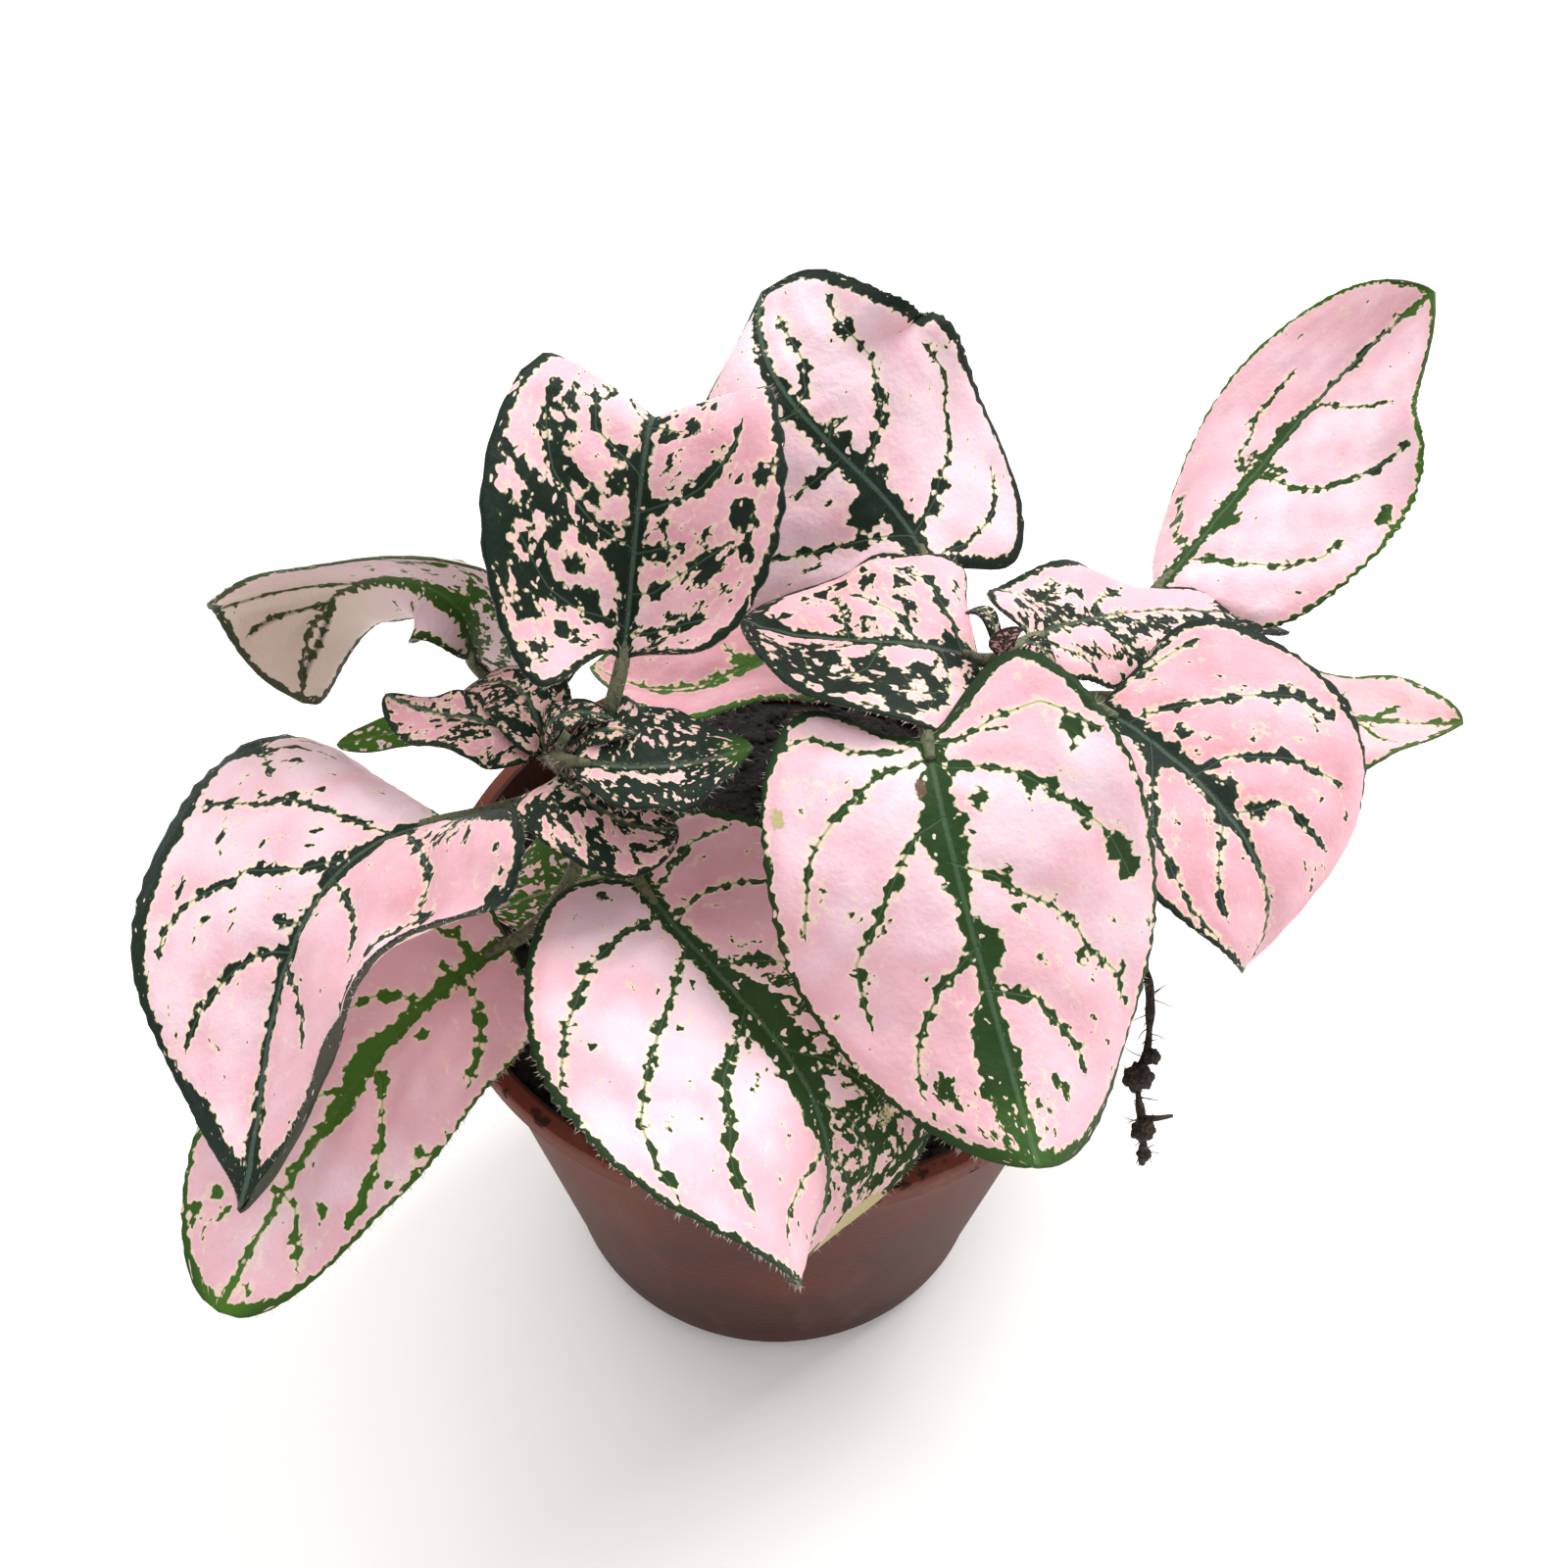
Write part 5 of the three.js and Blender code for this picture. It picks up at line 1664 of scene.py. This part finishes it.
LOW_FRONT = Leaf(
    "low_front", 0.75,
    BladeShape(
        ((-31.5, -20.5, 84.5), (-41.5, -27.5, 80.5), (-51, -39.5, 74.5), (-60.5, -57, 65)), (14.5, 16),
        belly=(0.42, 0.42), point=(0.45, 0.5), lobe=(3, 2), roll=(-1, 5), fold=((12, 8), (12, 12)),
        curl=((-2, -18), (-1, 5)), wave=0.6, phase=10,
    ),
    Marks(
        veins=(
            Vein(((0.12, 0), (0.12, 0.2), (0.13, 0.35), (0.17, 0.47), (0.19, 0.58)), 0.6, 0.4),
            Vein(((0.29, 0), (0.36, 0.26), (0.39, 0.33), (0.43, 0.38)), 0.6, 0.3),
            Vein(((0.58, 0), (0.61, 0.15), (0.655, 0.25)), 0.4, 0.3),
            Vein(((0.18, 0), (0.18, -0.25), (0.2, -0.43), (0.235, -0.55), (0.29, -0.68),
                  (0.375, -0.82)), 0.6, 0.3),
            Vein(((0.5, 0), (0.515, -0.2), (0.625, -0.55), (0.66, -0.63), (0.71, -0.68), (0.75, -0.8),
                  (0.785, -0.82)), 0.6, 0.3),
            Vein(((0.8, 0), (0.81, -0.22), (0.845, -0.4), (0.885, -0.68)), 0.5, 0.3),
        ),
        blots=((0.59, -0.87, 0.6), (0.68, -0.85, 0.4), (0.79, -0.5, 0.4), (0.95, -0.3, 0.4),
               (0.85, 0.6, 0.6), (0.88, 0.8, 0.5), (0.2, 0.12, 0.7), (0.37, -0.2, 0.7)),
        rib_band=((0, 1.1, 1.1), (0.4, 0.9, 1), (0.48, 0.8, 2), (0.55, 1, 1.4), (0.6, 2.2, 0.8),
                  (0.7, 0.4, 0.4), (0.8, 0.6, 0.5), (0.9, 0.2, 0.2), (1, 0.6, 0.6)),
        margin=((0, 0.3, 0.3), (0.85, 0.35, 0.35), (0.95, 0.8, 0.8), (1, 1.2, 1.2)),
        cover=(Patch(0.75, 0.3, 0.25, 0.6, 0.14), Patch(0.9, 0, 0.1, 0.8, 0.22)),
        green=(Patch(0.55, 0, 0.7, 1.4, 0.85), Patch(1, 0, 0.12, 1, 1)),
        # Painted shade: deeper, dimmer pink where this leaf lies in shade.
        painted_shade=(Patch(0.2, 0, 0.4, 1.2, 0.15),), tone=0.3,
    ),
)
FAR_LEFT = Leaf(
    "far_left", 0.97,
    BladeShape(
        ((-41, 19.5, 93), (-43.5, 15, 108), (-57, 21.5, 101), (-61.5, 12, 91)), (8.5, 18),
        belly=(0.6, 0.62), point=(0.4, 0.45), lobe=(-0.5, 14), roll=(65, 65), fold=((14, -17), (38, 36)),
        curl=((11, -60), (55, 12)), ripples=3.3, phase=-30,
    ),
    Marks(
        veins=(
            Vein(((0.2, 0), (0.3, 0.6)), 0.4, 0.5),
            Vein(((0.7, 0), (0.78, -0.18), (0.86, -0.24), (0.95, -0.05)), 0.5, 0.3),
            Vein(((0.6, 0), (0.72, 0.6), (0.78, 0.85)), 0.35, 0.2),
            Vein(((0.72, 0.02), (0.88, 0.6)), 0.35, 0.2),
        ),
        rib_band=((0, 1.2, 1.2), (0.35, 1.3, 1.3), (0.5, 0.8, 1), (0.7, 0.3, 0.3)),
        margin=((0, 0.7, 1), (0.5, 0.7, 1.2), (1, 0.7, 0.7)),
        cover=(Patch(0.15, 0.4, 0.28, 0.7, 0.45), Patch(0.3, -0.5, 0.3, 0.5, 0.2)),
        green=(Patch(0.6, 0, 0.7, 1.3, 0.7),), under=(Patch(0.85, 0, 0.35, 1.5, 1),), tone=0.05,
    ),
)
YOUNG_LOW = Leaf(
    "young_low", 0.93,
    BladeShape(
        ((-43.5, 7, 92), (-47.5, 6.5, 92), (-52, 6, 91), (-56, 5.5, 90)), (3, 3), belly=(0.4, 0.4),
        wave=0.1,
    ),
    Marks(cover=(Patch(0.6, 0, 0.6, 2, 0.95),), green=(Patch(0.5, 0, 1, 2, 1),), tone=0),
    young=True,
)
LOW_SIDE = Leaf(
    "low_side", 0.9,
    BladeShape(
        ((57, 30, 78), (68, 24.5, 82), (79, 21.5, 83), (88.5, 16.5, 88)), (9, 11), belly=(0.52, 0.5),
        point=(0.65, 0.65), lobe=(0.5, 1), roll=(3, -2), fold=((4, 13), (5, 12)),
        curl=((-40, 10), (-34, 8)), ripples=2.6, phase=20,
    ),
    Marks(
        veins=(
            Vein(((0.68, 0), (0.74, -0.3)), 0.35, 0.15),
            Vein(((0.4, 0), (0.46, 0.25), (0.55, 0.5)), 0.3, 0.15),
            Vein(((0.4, 0), (0.46, -0.25), (0.55, -0.5)), 0.3, 0.15),
            Vein(((0.6, 0.02), (0.68, 0.3), (0.76, 0.5)), 0.15),
        ),
        rib_band=((0, 0.8, 0.8), (0.6, 0.7, 0.5), (0.7, 0.7, 0.3), (0.78, 0.1, 0), (0.85, 0.2, 0.1),
                  (1, 0.6, 0.6)),
        margin=((0, 0.5, 0.5),), green=(Patch(0.6, 0, 1, 2, 0.9),), under=(Patch(0.8, 0, 0.4, 1.5, 0.3),),
        tone=0.5,
    ),
)
LOW_BACK = Leaf(
    "low_back", 0.97,
    BladeShape(
        ((4.5, 31.5, 86), (-5, 23, 89), (-14.5, 20.5, 87), (-26.5, 26, 85.5)), (10.5, 10.5),
        belly=(0.4, 0.4), point=(0.6, 0.35), lobe=(-0.5, 1), roll=(0, -9), fold=((9, 22), (8, 18)),
        curl=((-31, 25), (-30, 20)), wave=1, phase=10,
    ),
    Marks(
        veins=(
            Vein(((0.3, 0), (0.45, -0.12), (0.74, -0.16)), 1, 0.3),
            Vein(((0.34, 0.02), (0.37, 0.4)), 0.6, 0.2),
        ),
        blots=((0.36, 0.15, 1), (0.47, 0.05, 0.5)),
        rib_band=((0, 0.9, 0.9), (0.3, 1.2, 1.2), (0.4, 0.2, 0.2), (1, 0.1, 0.1)),
        margin=((0, 0.5, 0.4), (0.5, 1, 0.4), (1, 0.5, 0.4)), green=(Patch(0.6, 0, 0.8, 2, 0.85),),
        # Painted shade: a deeper, dimmer pink, as this leaf lies in shade.
        tone=0.75,
    ),
)


# Pieces of the plant


@dataclass(frozen=True)
class Shoot:
    """One leafy shoot: its stem, leaf stalks, leaves and hairs."""

    node: str
    stem: FourPoints
    radius: float
    leaves: tuple[Leaf, ...]
    seed: int

    sides = 14
    stem_steps = 60
    stem_taper = 0.12
    stem_wood = 0.75
    knuckle = 0.22
    knuckle_width = 0.035
    stalk_radius = 0.95
    stalk_wood = 0.35
    young_share = 0.75
    end_from = 0.88
    end_taper = 3.2
    hairs_per_mm = 5.0
    hair_lengths = (0.5, 1.3)
    hair_lean = 0.25

    def stalk_radii(self, leaf: Leaf, share: Array) -> Array:
        """The radii of a leaf's stalk: wide at the stem, and thin where it runs into the blade."""
        radius = self.stalk_radius * (self.young_share if leaf.young else 1.0)
        radii = radius * (1.08 - 0.2 * share + 0.35 * np.exp(-((share / 0.08) ** 2)))
        return radii * np.where(share > self.end_from, 1 - self.end_taper * (share - self.end_from), 1)

    def stalks(self) -> tuple[Skin, list[tuple[Array, Array]]]:
        """The stem and all leaf stalks as one mesh, with their middle lines and radii."""
        curve = FourPointCurve(self.stem)
        share = np.linspace(0, 1, self.stem_steps)
        swell = sum(np.exp(-(((share - leaf.at) / self.knuckle_width) ** 2)) for leaf in self.leaves)
        radii = self.radius * (1 - self.stem_taper * share + self.knuckle * np.minimum(swell, 1.2))
        rods = [(curve.at(share), radii)]
        for leaf in self.leaves:
            line = leaf.stalk_line(curve)
            rods.append((line, self.stalk_radii(leaf, np.linspace(0, 1, len(line)))))
        woods = [self.stem_wood] + [self.stalk_wood] * len(self.leaves)
        skins = [tube(line, radii, self.sides, wood=wood) for (line, radii), wood in zip(rods, woods)]
        return joined(skins), rods

    def hair_places(self, rods: list[tuple[Array, Array]]) -> tuple[Array, Array, Array]:
        """Roots, directions and lengths of the hairs on the leaf margins and on the stalks."""
        draw = np.random.default_rng(self.seed)
        sets = [leaf.margin_hairs(draw) for leaf in self.leaves]
        for line, radii in rods:
            count = int(self.hairs_per_mm * line_length(line))
            share = draw.uniform(0.04, 0.94, count) * (len(line) - 1)
            low = share.astype(int)
            mix = (share - low)[:, None]
            middle = line[low] * (1 - mix) + line[low + 1] * mix
            ahead = unit(line[low + 1] - line[low])
            outward = draw.normal(0, 1, (count, 3))
            outward = unit(outward - ahead * (outward * ahead).sum(1)[:, None])
            roots = middle + outward * radii[low][:, None] * 0.9
            sets.append((roots, outward + self.hair_lean * ahead, draw.uniform(*self.hair_lengths, count)))
        roots, aims, lengths = (np.concatenate(part) for part in zip(*sets))
        return roots, aims, lengths

    def build(self, blade: Material, stalk: Material) -> list[Piece]:
        """Builds and dresses every piece of the shoot.

        Args:
            blade: the leaves' material.
            stalk: the stem's and stalks' material.

        Returns:
            The finished pieces.
        """
        skin, rods = self.stalks()
        pieces = [dress(skin.to_object(f"stalks_{self.node}"), stalk)]
        for leaf in self.leaves:
            pieces.append(dress(leaf.blade().to_object(f"leaf_{leaf.name}"), blade))
        for piece in pieces:
            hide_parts(self.node)
        hairs = Hairs(self.seed).build(f"hairs_{self.node}", *self.hair_places(rods))
        return [*pieces, dress(hairs)]


SHOOTS = (
    Shoot(
        "shoot_left", ((-14, 4, 60), (-17, 2, 76), (-21, -2, 89), (-25.5, -6, 101)), 1.7,
        (FRONT_MIDDLE, FRONT_LEFT, BACK_LEFT, INNER, YOUNG_FRONT, YOUNG_LEFT, YOUNG_BACK, BUD_OUTER,
         BUD_INNER, SHADED),
        21,
    ),
    Shoot(
        "shoot_right", ((14, 6, 60), (18, 7, 78), (22, 7.5, 92), (26.5, 8.5, 105)), 1.7,
        (FRONT_RIGHT, FAR_RIGHT, BACK_MIDDLE, BACK_RIGHT, MIDDLE, SMALL_RIGHT, BUD_LEFT, BUD_RIGHT,
         BUD_FRONT),
        22,
    ),
    Shoot(
        "shoot_low_left", ((-19, 12, 60), (-21, 11, 68), (-22.5, 10, 75), (-24, 9, 82)), 1.3,
        (LOW_FRONT, FAR_LEFT, YOUNG_LOW), 23,
    ),
    Shoot(
        "shoot_low_right", ((22, 16, 60), (23, 16.5, 67), (24, 17, 74), (25, 18, 80)), 1.3,
        (LOW_SIDE, LOW_BACK), 24,
    ),
)


@dataclass(frozen=True)
class Pot:
    """The tapered nursery pot: a thin turned wall with a rim band, a small foot and drain holes."""

    rim_radius: float = 45.0
    rim_height: float = 4.0
    rim_step: float = 1.2
    height: float = 70.0
    base_radius: float = 31.0
    foot_height: float = 3.5
    foot_step: float = 0.8
    wall: float = 1.3
    floor: float = 1.8
    drain_holes: int = 6
    drain_radius: float = 3.0
    drain_circle: float = 20.0
    drill_length: float = 6.0
    drill_sides: int = 32
    sides: int = 160
    sharp: float = 38.0

    def wall_radius(self, z: float) -> float:
        """The wall's outer radius at a height."""
        low = self.base_radius + self.foot_step
        return low + (self.rim_radius - self.rim_step - low) * z / self.height

    def outline(self) -> list[Pair]:
        """The (radius, height) places from the underside's middle round to the floor's middle."""
        base, foot, rim, top = self.base_radius, self.foot_height, self.rim_radius, self.height
        rim_bottom = top - self.rim_height
        above_foot, below_rim = self.wall_radius(foot), self.wall_radius(rim_bottom)
        mouth = self.wall_radius(top) - self.wall
        return [
            (0, 0), (base - 0.6, 0), (base - 0.15, 0.15), (base, 0.6), (base + 0.4, foot - 0.2),
            (base + 0.5, foot), (above_foot + 0.2, foot + 0.35), (above_foot + 0.3, foot + 0.6),
            *[(self.wall_radius(z), z) for z in np.linspace(8, rim_bottom - 0.9, 8)],
            (below_rim + 0.05, rim_bottom - 0.5), (rim - 0.45, rim_bottom - 0.12),
            (rim - 0.2, rim_bottom + 0.15), (rim - 0.1, rim_bottom + 2), (rim, top - 0.6),
            (rim - 0.15, top - 0.15), (rim - 0.5, top), (mouth + 0.5, top), (mouth + 0.1, top - 0.2),
            (mouth, top - 0.6),
            *[(self.wall_radius(z) - self.wall, z) for z in np.linspace(rim_bottom, 8, 6)],
            (self.wall_radius(self.floor) - self.wall - 0.3, self.floor), (0, self.floor),
        ]

    def build(self, material: Material) -> Piece:
        """Turns the wall, bores the drain holes and dresses the pot."""
        pot = turned(self.outline(), self.sides).to_object("nursery_pot")
        pot.data.materials.append(material)
        self.bore(pot)
        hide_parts("pot")
        return dress(pot)

    def bore(self, pot: Piece) -> None:
        """Cuts the drain holes through the floor."""
        mesh = bpy.data.meshes.new("drills")
        drills = bmesh.new()
        radius, depth = self.drain_radius * MM, self.drill_length * MM
        for k in range(self.drain_holes):
            angle = 2 * math.pi * k / self.drain_holes
            middle = Vector((math.cos(angle), math.sin(angle), 0)) * self.drain_circle * MM
            bmesh.ops.create_cone(
                drills, cap_ends=True, segments=self.drill_sides, radius1=radius, radius2=radius,
                depth=depth, matrix=Matrix.Translation(middle),
            )
        drills.to_mesh(mesh)
        drills.free()
        cutter = link(bpy.data.objects.new("drills", mesh))
        modifier = pot.modifiers.new("drain_holes", "BOOLEAN")
        modifier.operation = "DIFFERENCE"
        modifier.solver = "EXACT"
        modifier.object = cutter
        bored = evaluated(pot, "nursery_pot")
        pot.modifiers.remove(modifier)
        pot.data = bored
        bpy.data.objects.remove(cutter)
        bored.shade_smooth()
        bored.set_sharp_from_angle(angle=math.radians(self.sharp))


@dataclass(frozen=True)
class Soil:
    """The peat that fills the pot, with a lumpy top."""

    pot: Pot
    level: float = 66.0
    edge_drop: float = 1.6
    edge_width: float = 2.5
    gap: float = 0.35
    waist: float = 30.0
    lump: float = 0.7
    crumb: float = 0.22
    rings: int = 64
    sides: int = 160

    def radius(self, z: float) -> float:
        """The soil's radius at a height."""
        return self.pot.wall_radius(z) - self.pot.wall - self.gap - 0.1

    def lumps(self, x: Array, y: Array) -> Array:
        """The top's height above its level: broad heaps and small crumbs."""
        broad = np.sin(0.31 * x + 1.3) * np.cos(0.27 * y - 0.4)
        fine = np.sin(0.83 * x - 0.6 * y) * np.cos(0.71 * y + 0.5 * x)
        crumbs = np.sin(2.3 * x + 1.1 * y) * np.cos(2.1 * y - 0.9 * x + 0.7)
        crumbs += np.sin(4.7 * x - 2) * np.cos(5.1 * y + x)
        return self.lump * (broad + 0.5 * fine) + self.crumb * crumbs

    def body(self) -> Skin:
        """The soil's mesh, which holds a "top" value of 1 on its lumpy top."""
        floor, edge = self.pot.floor + self.gap, self.level - self.edge_drop
        wide = self.radius(edge)
        outline = [(0, floor), (self.radius(floor) - 0.3, floor), (self.radius(self.waist), self.waist)]
        outline.append((wide, edge))
        outline += [(wide * share, self.level) for share in np.linspace(1, 0, self.rings + 1)[1:]]
        skin = turned(outline, self.sides)
        x, y, z = skin.places.T
        top = z > edge + 0.1
        ramp = np.clip((wide - np.hypot(x, y)) / self.edge_width, 0, 1)
        heights = edge + (self.level - edge + self.lumps(x, y)) * ramp
        skin.places[:, 2] = np.where(top, heights, z)
        skin.values["top"] = top.astype(float)
        return skin

    def build(self, material: Material) -> list[Piece]:
        """Builds the soil body and the loose crumbs on it."""
        skin = self.body()
        soil = dress(skin.to_object("soil_body"), material)
        crumbs = Crumbs().build("soil_crumbs", skin.to_object("soil_bed"), material)
        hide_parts("soil")
        return [soil, dress(crumbs)]


@dataclass(frozen=True)
class WitheredShoot:
    """The dry string that hangs over the rim, with peat lumps and fine root hairs on it."""

    path: Points = (
        (33, 9, 60), (35.5, 4, 69), (40, -5, 74.5), (45.5, -13, 73), (46.5, -19, 66.5), (45.5, -23, 61.5),
        (46.5, -27, 57), (47.5, -27.5, 50),
    )
    steps: int = 150
    radius: float = 0.6
    sides: int = 12
    branch: Points = ((46.2, -26, 58.5), (47.8, -26.5, 59.5), (50, -25.5, 58.5))
    branch_steps: int = 24
    branch_radii: Pair = (0.5, 0.25)
    branch_sides: int = 8
    lumps: tuple[tuple[Point, float], ...] = (
        ((45.5, -22.5, 62.5), 1.8), ((46.8, -21, 65), 1.1), ((46.4, -27, 57.5), 1.5),
        ((47.3, -27.6, 52.5), 0.9),
    )
    lump_form: Point = (1, 0.85, 1.15)
    root_hairs: int = 60
    hairs_from: int = 70
    hair_lengths: Pair = (0.8, 3.0)
    hair_radii: Pair = (0.11, 0.05)
    hair_steps: int = 6
    hair_sides: int = 4
    seed: int = 31

    def lump(self, middle: Point, radius: float) -> Skin:
        """One ragged lump of peat."""
        ball = bmesh.new()
        bmesh.ops.create_icosphere(ball, subdivisions=4, radius=1.0)
        places = np.array([corner.co for corner in ball.verts])
        faces = [tuple(corner.index for corner in face.verts) for face in ball.faces]
        ball.free()
        x, y, z = (places * 3.1 + np.array(middle)).T
        rough = 0.16 * np.sin(1.7 * x + z) * np.cos(1.9 * y) + 0.1 * np.sin(4.1 * x - 3.3 * y + 2.7 * z)
        rough += 0.05 * np.sin(9 * x + 7 * y) * np.cos(8 * z - 5 * y)
        return Skin(places * self.lump_form * radius * (0.98 + rough)[:, None] + middle, faces)

    def root_hair(self, line: Array, draw: np.random.Generator) -> Skin:
        """One short bent hair on the string."""
        start = line[draw.integers(self.hairs_from, len(line) - 2)]
        step = draw.normal(0, 1, 3) * (0.9, 0.6, 0.8) + (0, -0.2, -0.35)
        bend = draw.normal(0, 0.5, 3)
        reach = draw.uniform(*self.hair_lengths)
        u = np.linspace(0, 1, self.hair_steps)[:, None]
        hair = start + unit(step) * reach * u + bend * u**2
        return tube(hair, np.linspace(*self.hair_radii, self.hair_steps), self.hair_sides)

    def build(self, material: Material) -> Piece:
        """Builds and dresses the string with its branch, lumps and root hairs."""
        draw = np.random.default_rng(self.seed)
        line = smooth_line(self.path, self.steps)
        share = np.linspace(0, 1, len(line))
        radii = self.radius * (1 - 0.25 * share + 0.16 * np.sin(41 * share) + 0.1 * np.sin(97 * share + 1))
        branch = smooth_line(self.branch, self.branch_steps)
        branch_radii = np.linspace(*self.branch_radii, len(branch))
        skins = [tube(line, radii, self.sides), tube(branch, branch_radii, self.branch_sides)]
        skins += [self.lump(middle, radius) for middle, radius in self.lumps]
        skins += [self.root_hair(line, draw) for _ in range(self.root_hairs)]
        piece = joined(skins).to_object("withered_string")
        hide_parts("withered_shoot")
        return dress(piece, material)


# The room


@dataclass(frozen=True)
class Camera:
    """The camera that looks down on the plant from the front."""

    target: Point = (0, 19.3, 70)
    distance: float = 220.0
    elevation: float = 47.2
    roll: float = 1.4
    lens: float = 36.0
    sensor: float = 36.0
    nearest: float = 10.0

    def build(self) -> None:
        """Places the scene's camera."""
        rise, turn = math.radians(self.elevation), math.radians(self.roll)
        back = Vector((0, -math.cos(rise), math.sin(rise)))
        level = Vector((1, 0, 0))
        up = back.cross(level)
        right = level * math.cos(turn) + up * math.sin(turn)
        top = up * math.cos(turn) - level * math.sin(turn)
        data = bpy.data.cameras.new("camera")
        data.lens = self.lens
        data.sensor_width = self.sensor
        data.clip_start = self.nearest * MM
        camera = link(bpy.data.objects.new("camera", data))
        place = Matrix.Translation((Vector(self.target) + back * self.distance) * MM)
        camera.matrix_world = place @ Matrix((right, top, back)).transposed().to_4x4()
        bpy.context.scene.camera = camera


class Light(Enum):
    """The soft lights: place in metres, width in metres, power in watts."""

    KEY = ((0.6, 0.5, 1.0), 0.6, 13.5)
    FILL = ((-0.5, 0.4, 1.0), 0.8, 5.5)


@dataclass(frozen=True)
class Studio:
    """A white floor and sky under soft light, in metres."""

    floor_size: float = 3.0
    floor_drop: float = 0.0003
    sky: Colour = linear(0xFFFFFF)
    sky_strength: float = 0.9
    aim: Point = (0.0, 0.0, 0.07)

    def build(self) -> None:
        """Lays the floor, sets the sky and hangs the lights."""
        half = self.floor_size / 2
        corners = [(x * half, y * half, -self.floor_drop) for x, y in ((-1, -1), (1, -1), (1, 1), (-1, 1))]
        floor = Skin(np.array(corners) / MM, [(0, 1, 2, 3)]).to_object("floor")
        floor.data.materials.append(FloorFinish().material())
        world = bpy.data.worlds.new("sky")
        world.use_nodes = True
        sky = world.node_tree.nodes["Background"]
        sky.inputs["Color"].default_value = self.sky
        sky.inputs["Strength"].default_value = self.sky_strength
        bpy.context.scene.world = world
        for light in Light:
            place, width, power = light.value
            data = bpy.data.lights.new(light.name.lower(), "AREA")
            data.size = width
            data.energy = power
            lamp = link(bpy.data.objects.new(light.name.lower(), data))
            lamp.location = place
            lamp.rotation_euler = (Vector(place) - Vector(self.aim)).to_track_quat("Z", "Y").to_euler()
        bpy.context.scene.view_settings.view_transform = "Standard"


def main() -> None:
    """Builds the camera, the pot, the soil, the shoots and the room, and reports each piece."""
    logging.basicConfig(level=logging.INFO, format="%(name)s: %(message)s")
    Camera().build()
    pot = Pot()
    pieces = [pot.build(PotFinish().material())]
    pieces += Soil(pot).build(SoilFinish().material())
    blade, stalk = LeafFinish().material(), StalkFinish().material()
    for shoot in SHOOTS:
        pieces += shoot.build(blade, stalk)
    pieces.append(WitheredShoot().build(WitheredFinish().material()))
    Studio().build()
    for piece in pieces:
        log.info("%s has %d faces", piece.name, len(piece.data.polygons))


if __name__ == "__main__":
    main()
